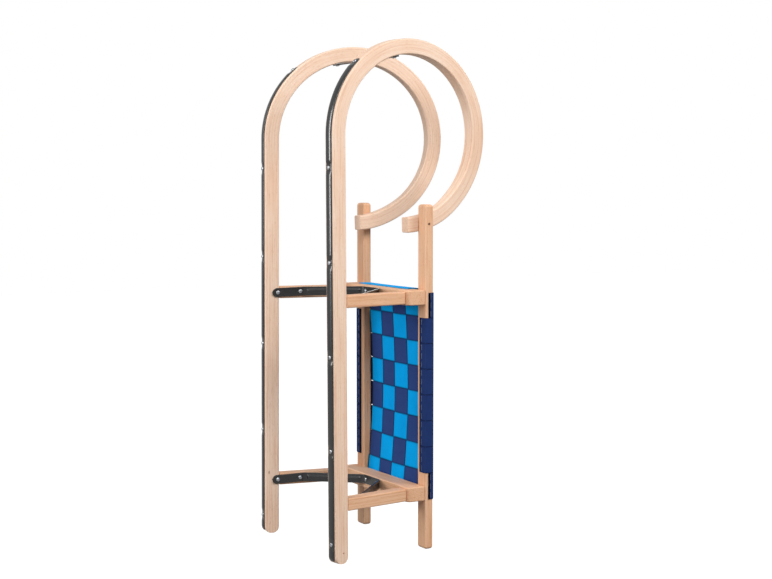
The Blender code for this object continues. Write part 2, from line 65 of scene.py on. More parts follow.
camera = bpy.data.objects.new("camera", bpy.data.cameras.new("camera"))
bpy.context.scene.collection.objects.link(camera)
camera.location = CAMERA_PLACE
camera.rotation_euler = CAMERA_LOOK.to_track_quat("-Z", "Y").to_euler()
camera.data.lens = CAMERA_LENS
camera.data.sensor_width = 36.0
camera.data.clip_end = 60.0
bpy.context.scene.camera = camera
bpy.context.scene.view_settings.view_transform = "Standard"
print("camera lens, mm:", CAMERA_LENS)

# %% [markdown]
# ## Node helpers
# Every finish below is a small net of shader nodes. One function adds a node, sets its options and
# fills its sockets, either with a value or with another node's output. Colours are written as the
# hex values that a painter would pick on a screen, and turned to the linear numbers that the
# renderer works in.


# %% Node helpers
def linear(code):
    """An sRGB hex colour as linear red, green, blue and alpha."""
    parts = [int(code[i:i + 2], 16) / 255 for i in (1, 3, 5)]
    return (*[c / 12.92 if c <= 0.04045 else ((c + 0.055) / 1.055) ** 2.4 for c in parts], 1.0)


def add(tree, kind, settings=None, sockets=None):
    """Add a node. A socket takes a value, or (node, output name) for a link."""
    made = tree.nodes.new("ShaderNode" + kind)
    for key, value in (settings or {}).items():
        setattr(made, key, value)
    for key, value in (sockets or {}).items():
        if isinstance(value, tuple) and isinstance(value[0], bpy.types.Node):
            tree.links.new(value[0].outputs[value[1]], made.inputs[key])
        else:
            made.inputs[key].default_value = value
    return made


def new_material(name):
    """An empty node material, and its tree."""
    material = bpy.data.materials.new(name)
    material.use_nodes = True
    material.node_tree.nodes.clear()
    return material, material.node_tree


def show(tree, shader):
    """Send a shader to the surface."""
    add(tree, "OutputMaterial", None, {"Surface": shader})


def ramp(tree, factor, stops):
    """A colour ramp through (position, hex colour) stops."""
    made = add(tree, "ValToRGB", None, {"Fac": factor})
    marks = made.color_ramp.elements
    for index, (position, code) in enumerate(stops):
        mark = marks[index] if index < 2 else marks.new(position)
        mark.position = position
        mark.color = linear(code)
    return made, "Color"


def math_node(tree, operation, a, b=0.0, c=0.0):
    """One step of arithmetic."""
    made = add(tree, "Math", {"operation": operation}, {0: a, 1: b, 2: c})
    return made, "Value"


def blend_colour(tree, kind, factor, a, b):
    """Two colours, mixed the way that kind names."""
    made = add(tree, "Mix", {"data_type": "RGBA", "blend_type": kind},
               {"Factor": factor, 6: a, 7: b})
    return made, 2


print("node helpers ready")

# %% [markdown]
# ## Floor, background and light
# The sled stands on a plain floor under soft studio light. The light comes from high up, on the
# camera's side, so the horns are brighter than the feet. A tall, narrow softbox on the left draws
# the long highlight down the near skid, and a weaker one behind shows the back of the seat. The
# floor and the sky show white to the camera without lighting the sled more: Light Path tells a
# camera ray from the rest. The black steel mirrors a dimmer white, as it would beside a studio's
# darker walls. The floor adds its glow to its own shading, so that the shadow at the feet stays.

# %% What a ray sees
AMBIENT = 0.30
MIRROR_LEVEL = 0.38


def seen_level(tree):
    """1 for a camera or transmission ray, the mirror level for a glossy one, 0 for the rest."""
    path = add(tree, "LightPath")
    mirrored = math_node(tree, "MULTIPLY", (path, "Is Glossy Ray"), MIRROR_LEVEL)
    seen = math_node(tree, "MAXIMUM", (path, "Is Camera Ray"), mirrored)
    return math_node(tree, "MAXIMUM", seen, (path, "Is Transmission Ray"))


print("white in a mirror:", MIRROR_LEVEL)

# %% Floor
FLOOR_HALF = 7.0
FLOOR_GLOW = 0.95

bm = bmesh.new()
bmesh.ops.create_grid(bm, x_segments=1, y_segments=1, size=FLOOR_HALF)
floor_mesh = bpy.data.meshes.new("floor")
bm.to_mesh(floor_mesh)
bm.free()
floor = bpy.data.objects.new("floor", floor_mesh)
bpy.context.scene.collection.objects.link(floor)

floor_paint, tree = new_material("matt_white_floor")
seen = seen_level(tree)
matt = add(tree, "BsdfDiffuse", None, {"Color": linear("#7d7b79")})
glow_level = math_node(tree, "MULTIPLY", seen, FLOOR_GLOW)
glow = add(tree, "Emission", None, {"Color": linear("#ffffff"), "Strength": glow_level})
both = add(tree, "AddShader", None, {0: (matt, "BSDF"), 1: (glow, "Emission")})
show(tree, (both, "Shader"))
floor_mesh.materials.append(floor_paint)
print("floor, m across:", 2 * FLOOR_HALF)

# %% Sky
world = bpy.data.worlds.new("studio")
world.use_nodes = True
bpy.context.scene.world = world
tree = world.node_tree
tree.nodes.clear()
level = math_node(tree, "MULTIPLY_ADD", seen_level(tree), 1.0 - AMBIENT, AMBIENT)
sky = add(tree, "Background", None, {"Color": (1.0, 1.0, 1.0, 1.0), "Strength": level})
add(tree, "OutputWorld", None, {"Surface": (sky, "Background")})
print("ambient level:", AMBIENT)

# %% Lamps
LAMPS = (
    # name, place, aim, width and height in metres, watts
    ("left_softbox", (-0.45, -2.05, 1.12), (0.0, 0.0, 0.85), 0.50, 1.25, 25.0),
    ("key_softbox", (3.15, -0.95, 2.90), (0.0, 0.0, 0.90), 1.50, 1.80, 75.0),
    ("right_softbox", (2.60, 1.35, 2.60), (0.0, 0.0, 0.90), 1.20, 1.20, 60.0),
    ("front_softbox", (1.00, -1.80, 2.20), (0.0, 0.0, 0.90), 1.20, 1.20, 9.0),
    ("back_softbox", (-1.60, 2.40, 1.90), (0.0, 0.0, 0.70), 1.20, 1.40, 30.0),
)

for name, place_at, aim, width, height, watts in LAMPS:
    lamp = bpy.data.objects.new(name, bpy.data.lights.new(name, "AREA"))
    lamp.data.energy = watts
    lamp.data.shape = "RECTANGLE"
    lamp.data.size = width
    lamp.data.size_y = height
    lamp.visible_camera = False
    lamp.location = place_at
    lamp.rotation_euler = (Vector(aim) - Vector(place_at)).to_track_quat("-Z", "Y").to_euler()
    bpy.context.scene.collection.objects.link(lamp)
print("lamps:", len(LAMPS))

# %% [markdown]
# ## Beech
# The timber is steamed beech with a thin clear varnish: pale peach, fine and straight in the
# grain, with faint growth rings and short brown flecks where the wood rays are cut. The grain
# has to run along each piece and round each bend. So every wooden piece carries an attribute,
# "timber", that remembers where each point was in the straight plank before it was bent: across,
# through and along, in metres. Rings are circles round the tree's middle, seen in that plank, so
# long lines show on the sides and arcs on the sawn ends. Real rings are 2 to 3 mm apart and real
# flecks are under 1 mm wide. Both are drawn a little coarser here so that they show.

# %% Beech
RING_SPACING = 0.0034
RING_STRETCH = 0.05
STREAK_WIDTH = 0.0030
STREAK_LENGTH = 0.110
FLECK_WIDTH = 0.0011
FLECK_LENGTH = 0.0075
PATCH_SIZE = 0.11111
PORE_DEPTH = 0.0004

# At a scale of 1, the wave texture's rings are pi / 10 apart.
WAVE_PERIOD = pi / 10

# Two small dark marks, in timber coordinates, longer along the grain than across it.
PIN_KNOTS = ((-0.0600, 0.0420, 2.4270), (0.0440, 0.0735, 0.4870))
PIN_KNOT_RADIUS = 0.0017
PIN_KNOT_SQUEEZE = 0.40
PIN_KNOT_TONE = "#7d4f30"


def varnished_beech(name, pale, even, deep, streak):
    """Beech between a pale and a deep growth ring tone, with streaks of one more tone."""
    material, tree = new_material(name)
    plank = add(tree, "Attribute", {"attribute_name": "timber"})
    slow = add(tree, "Mapping", None, {"Vector": (plank, "Vector"), "Scale": (1.0, 1.0, RING_STRETCH)})
    rings = add(tree, "TexWave",
                {"wave_type": "RINGS", "rings_direction": "Z", "wave_profile": "SAW"},
                {"Vector": (slow, "Vector"), "Scale": WAVE_PERIOD / RING_SPACING,
                 "Distortion": 2.2, "Detail": 2.0, "Detail Scale": 1.2, "Detail Roughness": 0.55})
    along = add(tree, "Mapping", None, {"Vector": (plank, "Vector"),
                                        "Scale": (1.0, 1.0, STREAK_WIDTH / STREAK_LENGTH)})
    streaks = add(tree, "TexNoise", None, {"Vector": (along, "Vector"), "Scale": 1 / STREAK_WIDTH,
                                           "Detail": 4.0, "Roughness": 0.6})
    short = add(tree, "Mapping", None, {"Vector": (plank, "Vector"),
                                        "Scale": (1.0, 1.0, FLECK_WIDTH / FLECK_LENGTH)})
    flecks = add(tree, "TexNoise", None, {"Vector": (short, "Vector"), "Scale": 1 / FLECK_WIDTH,
                                          "Detail": 2.0, "Roughness": 0.5})
    patches = add(tree, "TexNoise", None, {"Vector": (plank, "Vector"), "Scale": 1 / PATCH_SIZE,
                                           "Detail": 2.0})
    wood = ramp(tree, (rings, "Fac"), ((0.0, pale), (1.0, deep), (0.75, even)))
    tint = ramp(tree, (streaks, "Fac"), ((0.30, streak), (0.68, "#ffffff"), (0.48, "#f8f0e8")))
    wood = blend_colour(tree, "MULTIPLY", 0.6, wood, tint)
    dots = ramp(tree, (flecks, "Fac"), ((0.28, "#c39a77"), (0.40, "#ffffff")))
    wood = blend_colour(tree, "MULTIPLY", 0.4, wood, dots)
    cloud = ramp(tree, (patches, "Fac"), ((0.3, "#f6eae0"), (0.7, "#ffffff")))
    wood = blend_colour(tree, "MULTIPLY", 0.7, wood, cloud)
    for spot in PIN_KNOTS:
        around = add(tree, "Mapping", None,
                     {"Vector": (plank, "Vector"), "Scale": (1.0, 1.0, PIN_KNOT_SQUEEZE),
                      "Location": (-spot[0], -spot[1], -spot[2] * PIN_KNOT_SQUEEZE)})
        away = add(tree, "VectorMath", {"operation": "LENGTH"}, {0: (around, "Vector")})
        knot = add(tree, "MapRange", None, {"Value": (away, "Value"), "From Min": PIN_KNOT_RADIUS,
                                            "From Max": PIN_KNOT_RADIUS * 0.5, "To Max": 0.75})
        wood = blend_colour(tree, "MIX", (knot, "Result"), wood, linear(PIN_KNOT_TONE))
    pores = add(tree, "Bump", None, {"Strength": 0.10, "Distance": PORE_DEPTH,
                                     "Height": (flecks, "Fac")})
    gloss = add(tree, "MapRange", None, {"Value": (streaks, "Fac"), "To Min": 0.42, "To Max": 0.54})
    surface = add(tree, "BsdfPrincipled", None,
                  {"Base Color": wood, "Roughness": (gloss, "Result"), "IOR": 1.5,
                   "Specular IOR Level": 0.3, "Normal": (pores, "Normal")})
    show(tree, (surface, "BSDF"))
    return material


print("growth rings, mm apart:", RING_SPACING * 1000)

# %% Two woods
bent_beech = varnished_beech("bent_beech", "#f2dbc8", "#f0d6c2", "#e9ccb6", "#e4c3ab")
planed_beech = varnished_beech("planed_beech", "#e9c1a1", "#e5bb99", "#dfb18e", "#ddb490")
print("woods:", bent_beech.name, planed_beech.name)

# %% [markdown]
# ## Black steel and zinc
# The skids, straps and strut are mild steel with a thin black coat, which is satin and a little
# uneven, so broad soft highlights run along every bend. The screws are zinc plated: bright, with
# a faint grain from tumbling, drawn at 0.6 mm so that it shows. The seat's staples are of a duller
# plated wire.

# %% Black steel
COAT_GRAIN = 0.0012
COAT_CLOUD = 0.033333
COAT_RELIEF = 0.0002

black_steel, tree = new_material("black_coated_steel")
spot = add(tree, "TexCoord")
grain = add(tree, "TexNoise", None, {"Vector": (spot, "Object"), "Scale": 1 / COAT_GRAIN,
                                     "Detail": 3.0, "Roughness": 0.6})
cloudy = add(tree, "TexNoise", None, {"Vector": (spot, "Object"), "Scale": 1 / COAT_CLOUD,
                                      "Detail": 3.0})
coat = ramp(tree, (cloudy, "Fac"), ((0.3, "#121316"), (0.7, "#18191c")))
satin = add(tree, "MapRange", None, {"Value": (cloudy, "Fac"), "To Min": 0.22, "To Max": 0.30})
orange_peel = add(tree, "Bump", None, {"Strength": 0.04, "Distance": COAT_RELIEF,
                                       "Height": (grain, "Fac")})
surface = add(tree, "BsdfPrincipled", None,
              {"Base Color": coat, "Roughness": (satin, "Result"), "IOR": 1.5,
               "Specular IOR Level": 0.65, "Coat Weight": 0.3, "Coat Roughness": 0.12,
               "Normal": (orange_peel, "Normal")})
show(tree, (surface, "BSDF"))
print("steel nodes:", len(tree.nodes))

# %% Zinc
ZINC_GRAIN = 0.0006


def plated_steel(name, low, high, smooth, rough):
    """Zinc plated steel between two tones and two roughnesses."""
    material, tree = new_material(name)
    spot = add(tree, "TexCoord")
    grain = add(tree, "TexNoise", None, {"Vector": (spot, "Object"), "Scale": 1 / ZINC_GRAIN,
                                         "Detail": 2.0})
    tone = ramp(tree, (grain, "Fac"), ((0.3, low), (0.7, high)))
    polish = add(tree, "MapRange", None, {"Value": (grain, "Fac"), "To Min": smooth,
                                          "To Max": rough})
    surface = add(tree, "BsdfPrincipled", None,
                  {"Base Color": tone, "Metallic": 1.0, "Roughness": (polish, "Result")})
    show(tree, (surface, "BSDF"))
    return material


bright_zinc = plated_steel("bright_zinc", "#9da1a6", "#c6c9cc", 0.22, 0.36)
dull_zinc = plated_steel("dull_zinc", "#6f7682", "#8d94a0", 0.42, 0.55)
print("plated steels:", bright_zinc.name, dull_zinc.name)

# %% [markdown]
# ## Webbing cloth
# The seat is flat woven polyester webbing, 50 mm wide and 1.4 mm thick, in navy and light blue.
# It is a tight plain weave: fine ribs run along the band, crossed by the picks, and a denser
# selvedge closes each side. Each band is darkened along its edges: painted shade for the groove
# where bands meet. A band remembers its flat cloth in an attribute, "cloth": where a point is
# across and along the band, and, between these, how much painted shade it takes where bands
# cross or where it tucks down beside a rail, and how dark its bound end is. Another attribute,
# "back", tells the back of the weave from its face; the back is given brighter tones, as painted
# light on the seat's underside.
# Yarns are really about 0.8 mm apart and are drawn at 1.2 mm so that they show. Thicker spots in
# the yarn are some 4 mm long, and wear leaves paler patches of about 4 cm.

# %% Webbing cloth
YARN_PITCH = 0.0012
PICK_PITCH = 0.0015
WEBBING_HALF_WIDTH = 0.0249
# Painted shade along each band's edges: its width and its strength.
EDGE_SHADE_WIDTH = 0.0014
EDGE_SHADE_DEPTH = 0.55
SLUB_SIZE = 0.0038462
WEAR_SIZE = 0.041667
YARN_RELIEF = 0.0003
# One dark tint for all painted shade on the webbing, and for the bound ends.
SHADE_AND_BINDING_TINT = "#141c3c"


def webbing_cloth(name, face_tones, brighter_back_tones):
    """Woven webbing. Each side has a deep and a light tone of one colour, the back's brighter as
    painted light, and band edges and creases darken as painted shade.
    """
    material, tree = new_material(name)
    cloth = add(tree, "Attribute", {"attribute_name": "cloth"})
    flat = add(tree, "SeparateXYZ", None, {"Vector": (cloth, "Vector")})
    rib = math_node(tree, "SINE", math_node(tree, "MULTIPLY", (flat, "X"), pi / YARN_PITCH))
    pick = math_node(tree, "SINE", math_node(tree, "MULTIPLY", (flat, "Z"), pi / PICK_PITCH))
    crossing = math_node(tree, "MULTIPLY", rib, pick)
    height = math_node(tree, "MULTIPLY_ADD", crossing, 0.5, 0.5)
    along = add(tree, "CombineXYZ", None, {"X": (flat, "X"), "Z": (flat, "Z")})
    slub = add(tree, "TexNoise", None, {"Vector": (along, "Vector"), "Scale": 1 / SLUB_SIZE,
                                        "Detail": 3.0})
    worn = add(tree, "TexNoise", None, {"Vector": (along, "Vector"), "Scale": 1 / WEAR_SIZE,
                                        "Detail": 2.0})
    slubs = math_node(tree, "MULTIPLY", (slub, "Fac"), 0.5)
    mixed = math_node(tree, "MULTIPLY_ADD", height, 0.45, slubs)
    face = ramp(tree, mixed, ((0.15, face_tones[0]), (0.80, face_tones[1])))
    # Painted light: the back, which faces down under the seat, takes brighter tones than the face.
    back = ramp(tree, mixed, ((0.15, brighter_back_tones[0]), (0.80, brighter_back_tones[1])))
    which = add(tree, "Attribute", {"attribute_name": "back"})
    colour = blend_colour(tree, "MIX", (which, "Fac"), face, back)
    cloud = ramp(tree, (worn, "Fac"), ((0.3, "#ebebf0"), (0.7, "#ffffff")))
    colour = blend_colour(tree, "MULTIPLY", 0.8, colour, cloud)
    # Painted shade: the band's edges, and the crease and tuck shade stored in the cloth attribute,
    # darken the colour towards one dark tint, which also colours the bound ends.
    reach = math_node(tree, "ABSOLUTE", (flat, "X"))
    edge = add(tree, "MapRange", None, {"Value": reach, "From Min": WEBBING_HALF_WIDTH - EDGE_SHADE_WIDTH,
                                        "From Max": WEBBING_HALF_WIDTH - EDGE_SHADE_WIDTH * 0.4,
                                        "To Max": EDGE_SHADE_DEPTH})
    shade = math_node(tree, "MAXIMUM", (edge, "Result"), (flat, "Y"))
    colour = blend_colour(tree, "MULTIPLY", shade, colour, linear(SHADE_AND_BINDING_TINT))
    weave = add(tree, "Bump", None, {"Strength": 0.35, "Distance": YARN_RELIEF, "Height": height})
    surface = add(tree, "BsdfPrincipled", None,
                  {"Base Color": colour, "Roughness": 0.85, "IOR": 1.45, "Specular IOR Level": 0.08,
                   "Normal": (weave, "Normal")})
    show(tree, (surface, "BSDF"))
    return material


print("yarns, mm apart as drawn:", YARN_PITCH * 1000)

# %% Two cloths
# The last tones, for the back, are brighter than the face's: painted light.
navy = webbing_cloth("navy_webbing", ("#1c305f", "#273c72"), ("#294179", "#324b89"))
light_blue = webbing_cloth("light_blue_webbing", ("#009ae2", "#00b0fa"), ("#00a0ec", "#00affb"))
print("cloths:", navy.name, light_blue.name)

# %% [markdown]
# ## Making a piece
# Each piece is a bmesh that ends as one object at the origin, with its place in its mesh. The
# solids' sizes are written in a frame whose Y is zero at the soles, and the imported part is
# centred, so each finished mesh is moved once along Y. Weighted normals keep the flat sides flat
# while the small rounded edges stay soft. The piece rides on the sled's one body, takes its
# finish, and hides the solids that it stands for.

# %% Making a piece
RAIL_UNDERSIDE_Y = 0.2127
ROW_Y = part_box("seat_rail_left")[0].y - RAIL_UNDERSIDE_Y
SIDES = (("left", 1), ("right", -1))
TIMBER_SMOOTH = radians(32)
SCREW_SMOOTH = radians(30)
STEEL_SMOOTH = radians(50)
CLOTH_SMOOTH = radians(60)


def make_piece(name, bm, material, nodes, smooth=TIMBER_SMOOTH):
    """Turn a bmesh into a finished piece of the sled."""
    bmesh.ops.translate(bm, verts=bm.verts, vec=(0.0, ROW_Y, 0.0))
    bm.normal_update()
    bmesh.ops.recalc_face_normals(bm, faces=bm.faces)
    mesh = bpy.data.meshes.new(name)
    bm.to_mesh(mesh)
    bm.free()
    mesh.shade_smooth()
    mesh.set_sharp_from_angle(angle=smooth)
    mesh.materials.append(material)
    made = bpy.data.objects.new(name, mesh)
    bpy.context.scene.collection.objects.link(made)
    even = made.modifiers.new("even_shading", "WEIGHTED_NORMAL")
    even.keep_sharp = True
    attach(made, "root")
    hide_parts(*nodes)
    print(name, "faces:", len(mesh.polygons))
    return made


def remember(bm, name, shift=(0.0, 0.0, 0.0), order=(0, 1, 2)):
    """Store each point's present place as an attribute, as across, through and along."""
    layer = bm.verts.layers.float_vector.new(name)
    for vert in bm.verts:
        vert[layer] = Vector([vert.co[i] for i in order]) + Vector(shift)


print("row shift, mm:", round(ROW_Y * 1000, 3))


# %% Cutting
def cut(bm, tool):
    """Take the tool's shape out of bm with an exact Boolean, and return what is left."""
    things = []
    for source in (bm, tool):
        mesh = bpy.data.meshes.new("cutting")
        source.to_mesh(mesh)
        source.free()
        things.append(bpy.data.objects.new("cutting", mesh))
        bpy.context.scene.collection.objects.link(things[-1])
    saw = things[0].modifiers.new("cut", "BOOLEAN")
    saw.operation = "DIFFERENCE"
    saw.solver = "EXACT"
    saw.object = things[1]
    left = bmesh.new()
    left.from_object(things[0], bpy.context.evaluated_depsgraph_get())
    for thing in things:
        bpy.data.meshes.remove(thing.data)
    return left


print("cutting helper ready")


# %% Bars, blocks and rounded edges
def round_bar(bm, start, end, radius, segments=24):
    """A closed cylinder from start to end."""
    axis = end - start
    turn = axis.to_track_quat("Z", "Y").to_matrix().to_4x4()
    bmesh.ops.create_cone(bm, cap_ends=True, segments=segments, radius1=radius, radius2=radius,
                          depth=axis.length, matrix=Matrix.Translation((start + end) / 2) @ turn)


def block(bm, low, high):
    """A box between two corners."""
    size = Vector(high) - Vector(low)
    middle = (Vector(high) + Vector(low)) / 2
    bmesh.ops.create_cube(bm, size=1.0, matrix=Matrix.Translation(middle) @ Matrix.Diagonal((*size, 1)))


def soften(bm, width, segments=4, angle=radians(40)):
    """Round every edge that is sharper than the angle."""
    bm.normal_update()
    edges = [e for e in bm.edges if e.is_manifold and e.calc_face_angle() > angle]
    bmesh.ops.bevel(bm, geom=edges, offset=width, segments=segments, profile=0.5,
                    affect="EDGES", material=-1, clamp_overlap=True)


print("bar, block and edge helpers ready")


# %% Sections and drawing out
def rounded_section(bm, width, depth, corner):
    """A rectangle with round corners, flat in X and Y, for drawing out."""
    for sx, sy in ((1, 1), (-1, 1), (-1, -1), (1, -1)):
        bm.verts.new((sx * width / 2, sy * depth / 2, 0.0))
    bm.faces.new(bm.verts)
    bmesh.ops.bevel(bm, geom=list(bm.verts), offset=corner, segments=5, profile=0.5,
                    affect="VERTICES", material=-1)
    bm.faces.ensure_lookup_table()
    return bm.faces[0]


def draw_out(bm, face, stops):
    """Extrude one face along Z through a list of heights."""
    height = face.verts[0].co.z
    for stop in stops:
        made = bmesh.ops.extrude_face_region(bm, geom=[face])["geom"]
        face = [g for g in made if isinstance(g, bmesh.types.BMFace)][0]
        bmesh.ops.translate(bm, verts=face.verts, vec=(0.0, 0.0, stop - height))
        height = stop
    return face


def steps(start, end, pitch):
    """Evenly spaced values from start to end, no further apart than the pitch."""
    count = max(1, ceil((end - start) / pitch))
    return [start + (end - start) * k / count for k in range(count + 1)]


def smooth_step(value, low, high):
    """Rise softly from 0 at low to 1 at high."""
    x = min(max((value - low) / (high - low), 0.0), 1.0)
    return x * x * (3 - 2 * x)


print("steps to 1 m, at most 0.3 m apart:", steps(0.0, 1.0, 0.3))

# %% [markdown]
# ## The runner's plane and its bend
# Each runner leans inwards, and its bend lies in that leaning plane. A point is given as u,
# outwards across the runner, v, up from the wooden sole, and z, forwards. The horn is a nearly
# round ellipse. Towards its end it is pulled inwards and turned upright, so that it can lie flat
# against the seat rail.

# %% The runner's plane and its bend
RUNNER_WIDTH = 0.026
RUNNER_DEPTH = 0.030
RUNNER_ROUND = 0.0030
RUNNER_LEAN = radians(9.2)
RUNNER_HALF_TRACK = 0.1543
RUNNER_TOE_IN = 0.011
TAIL_RADIUS = 0.013
HORN_START_Z = 0.812
HORN_RADIUS_V = 0.191
HORN_RADIUS_Z = 0.188
HORN_END_ANGLE = radians(268.2)
HORN_SKEW = 0.0013
HORN_PULL = 0.0184
HORN_FLAT_FROM = radians(225)
HORN_FLAT_TO = radians(262)
RAIL_INNER_X = 0.1115
RAIL_OUTER_X = 0.1415
GAP = 0.0003
MID = RUNNER_DEPTH / 2


def place(side, u, v, z, pull=0.0, flat=0.0):
    """Point of a runner, where side is 1 for the left one and -1 for the right one."""
    lean = RUNNER_LEAN * (1 - flat)
    x = RUNNER_HALF_TRACK - RUNNER_TOE_IN * z - v * sin(RUNNER_LEAN) - pull * cos(RUNNER_LEAN)
    y = v * cos(RUNNER_LEAN) - pull * sin(RUNNER_LEAN)
    meet = RAIL_INNER_X - GAP - RUNNER_WIDTH / 2
    x = x * (1 - flat) + meet * flat
    return Vector((side * (x + u * cos(lean)), y + u * sin(lean), z))


def horn_point(angle, depth):
    """Point in the runner's plane, depth below the sole side of the horn."""
    v = HORN_RADIUS_V * (1 - cos(angle))
    z = HORN_START_Z + HORN_RADIUS_Z * sin(angle)
    nv = HORN_RADIUS_Z * cos(angle)
    nz = -HORN_RADIUS_V * sin(angle)
    size = hypot(nv, nz)
    depth += HORN_SKEW * sin(2 * angle)
    return v + depth * nv / size, z + depth * nz / size


def horn_pull(angle):
    """How far the horn has been pulled inwards at an angle of its bend."""
    return HORN_PULL * (angle / (1.5 * pi)) ** 3


def horn_flat(angle):
    """How upright the horn has been turned at an angle of its bend, from 0 to 1."""
    return smooth_step(angle, HORN_FLAT_FROM, HORN_FLAT_TO)


print("horn ends at, degrees:", round(HORN_END_ANGLE * 180 / pi, 1))

# %% [markdown]
# ## Runners
# A real runner is a straight, planed beech bar that is steamed and bent round a form. The piece
# is made in the same order: a rounded section is drawn out into a straight bar, its tail is
# rounded off and bored, the bar's straight places are remembered for the grain, and only then are
# its points moved round the bend. Sweeping the section along a curve would be shorter, but the
# grain would have nothing to follow.

# %% Runners
TAIL_HOLE_RADIUS = 0.0018
TAIL_HOLE_DEPTH = 0.006
TAIL_HOLE_V = 0.018
TAIL_HOLE_Z = 0.020
TAIL_STEPS = 12
END_ROUND = 0.0016
SHAFT_FROM = 0.03
SHAFT_STEP = 0.05
BEND_STEP = 0.0045
DRILL_CLEAR = 0.004
HORN_MID_RADIUS = (HORN_RADIUS_V + HORN_RADIUS_Z) / 2 - MID
BAR_LENGTH = HORN_START_Z + HORN_END_ANGLE * HORN_MID_RADIUS

# Where each runner was sawn out of the tree: across, through and along.
RUNNER_PLANKS = {"left": (0.031, 0.058, 0.4), "right": (-0.047, 0.049, 2.3)}


def tail_half(z):
    """Half the runner's depth near its rounded tail."""
    if z >= TAIL_RADIUS:
        return MID
    return MID - TAIL_RADIUS + sqrt(max(TAIL_RADIUS ** 2 - (TAIL_RADIUS - z) ** 2, 0.0))


def straight_runner():
    """A runner before it is bent, with its tail rounded and bored on its outer side."""
    bm = bmesh.new()
    section = rounded_section(bm, RUNNER_WIDTH, RUNNER_DEPTH, RUNNER_ROUND)
    quarter = [k * pi / 2 / TAIL_STEPS for k in range(1, TAIL_STEPS + 1)]
    tail = [TAIL_RADIUS * (1 - cos(a)) for a in quarter]
    shaft = steps(SHAFT_FROM, HORN_START_Z, SHAFT_STEP)
    bend = steps(HORN_START_Z, BAR_LENGTH, BEND_STEP)[1:]
    sawn_end = draw_out(bm, section, tail + shaft + bend)
    bmesh.ops.bevel(bm, geom=list(sawn_end.edges), offset=END_ROUND, segments=3, profile=0.5,
                    affect="EDGES", material=-1)
    for vert in bm.verts:
        vert.co.y *= tail_half(vert.co.z) / MID
    drill = bmesh.new()
    out = RUNNER_WIDTH / 2
    round_bar(drill, Vector((out + DRILL_CLEAR, TAIL_HOLE_V - MID, TAIL_HOLE_Z)),
              Vector((out - TAIL_HOLE_DEPTH, TAIL_HOLE_V - MID, TAIL_HOLE_Z)), TAIL_HOLE_RADIUS)
    return cut(bm, drill)


print("straight bar, mm:", round(BAR_LENGTH * 1000, 1))

# %% Bending the runners
for hand, side in SIDES:
    bm = straight_runner()
    remember(bm, "timber", RUNNER_PLANKS[hand])
    for vert in bm.verts:
        u, w, s = vert.co
        if s <= HORN_START_Z:
            vert.co = place(side, u, MID + w, s)
        else:
            angle = (s - HORN_START_Z) / HORN_MID_RADIUS
            v, z = horn_point(angle, MID + w)
            vert.co = place(side, u, v, z, horn_pull(angle), horn_flat(angle))
    make_piece("bent_runner_" + hand, bm, bent_beech, ["runner_" + hand])

# %% [markdown]
# ## Seat rails, crossbars and posts
# These are straight beech bars with eased edges. A rail is drawn out from a rounded section, and
# its ends are rounded off more, by drawing the section in towards each end. It has a
# counterbored hole for the screw that holds the horn's end. A crossbar lies under both rails, and
# its lower corners are rounded off more. Four short posts, square to the runner, carry the
# crossbars. Crossbars and posts are blocks whose edges are rounded with a bevel, which is all
# that a planer and some sandpaper do. Each bar takes its grain from another plank.

# %% Seat rails
RAIL_THICKNESS = 0.018
RAIL_TOP_Y = RAIL_UNDERSIDE_Y + RAIL_THICKNESS
RAIL_ROUND = 0.003
RAIL_END_ROUND = 0.0055
HORN_SCREW_RISE = 0.0083
HORN_SCREW_Y = RAIL_UNDERSIDE_Y + HORN_SCREW_RISE
HORN_SCREW_Z = 0.6415
HORN_SCREW_HOLE = 0.0027
HORN_SCREW_SINK = 0.0050
RAIL_PAST_SCREW = 0.0385
RAIL_LENGTH = HORN_SCREW_Z + RAIL_PAST_SCREW
RAIL_END_STEPS = 7
RAIL_PLANKS = {"left": (0.06, -0.27, 4.1), "right": (-0.06, -0.27, 2.1)}

for hand, side in SIDES:
    bm = bmesh.new()
    half_x, half_y = (RAIL_OUTER_X - RAIL_INNER_X) / 2, RAIL_THICKNESS / 2
    section = rounded_section(bm, 2 * half_x, 2 * half_y, RAIL_ROUND)
    quarter = [k * pi / 2 / RAIL_END_STEPS for k in range(1, RAIL_END_STEPS + 1)]
    near = [RAIL_END_ROUND * (1 - cos(a)) for a in quarter]
    draw_out(bm, section, near + [RAIL_LENGTH - stop for stop in near[::-1]] + [RAIL_LENGTH])
    for vert in bm.verts:
        left = RAIL_END_ROUND - min(vert.co.z, RAIL_LENGTH - vert.co.z, RAIL_END_ROUND)
        inset = RAIL_END_ROUND - sqrt(max(RAIL_END_ROUND ** 2 - left ** 2, 0.0))
        vert.co.x = vert.co.x * (1 - inset / half_x) + side * (RAIL_INNER_X + half_x)
        vert.co.y = vert.co.y * (1 - inset / half_y) + RAIL_UNDERSIDE_Y + half_y
    drill = bmesh.new()
    round_bar(drill, Vector((side * (RAIL_OUTER_X + DRILL_CLEAR), HORN_SCREW_Y, HORN_SCREW_Z)),
              Vector((side * (RAIL_OUTER_X - HORN_SCREW_SINK), HORN_SCREW_Y, HORN_SCREW_Z)),
              HORN_SCREW_HOLE)
    bm = cut(bm, drill)
    remember(bm, "timber", RAIL_PLANKS[hand])
    make_piece("rail_" + hand, bm, planed_beech, ["seat_rail_" + hand])

# %% Crossbars
CROSSBAR_DEPTH = 0.040
CROSSBAR_THICKNESS = 0.029
FRONT_Z = 0.4985
REAR_Z = 0.112
CROSSBAR_HEIGHTS = (("front", FRONT_Z), ("rear", REAR_Z))
CROSSBAR_PLANKS = {"front": (-0.12, -0.53, 5.0), "rear": (-0.07, -0.63, 7.0)}
CROSSBAR_CORNER = 0.0105
CROSSBAR_ROUND = 0.0024
CROSSBAR_TOP_Y = RAIL_UNDERSIDE_Y - GAP
CROSSBAR_FACE_Y = CROSSBAR_TOP_Y - CROSSBAR_DEPTH

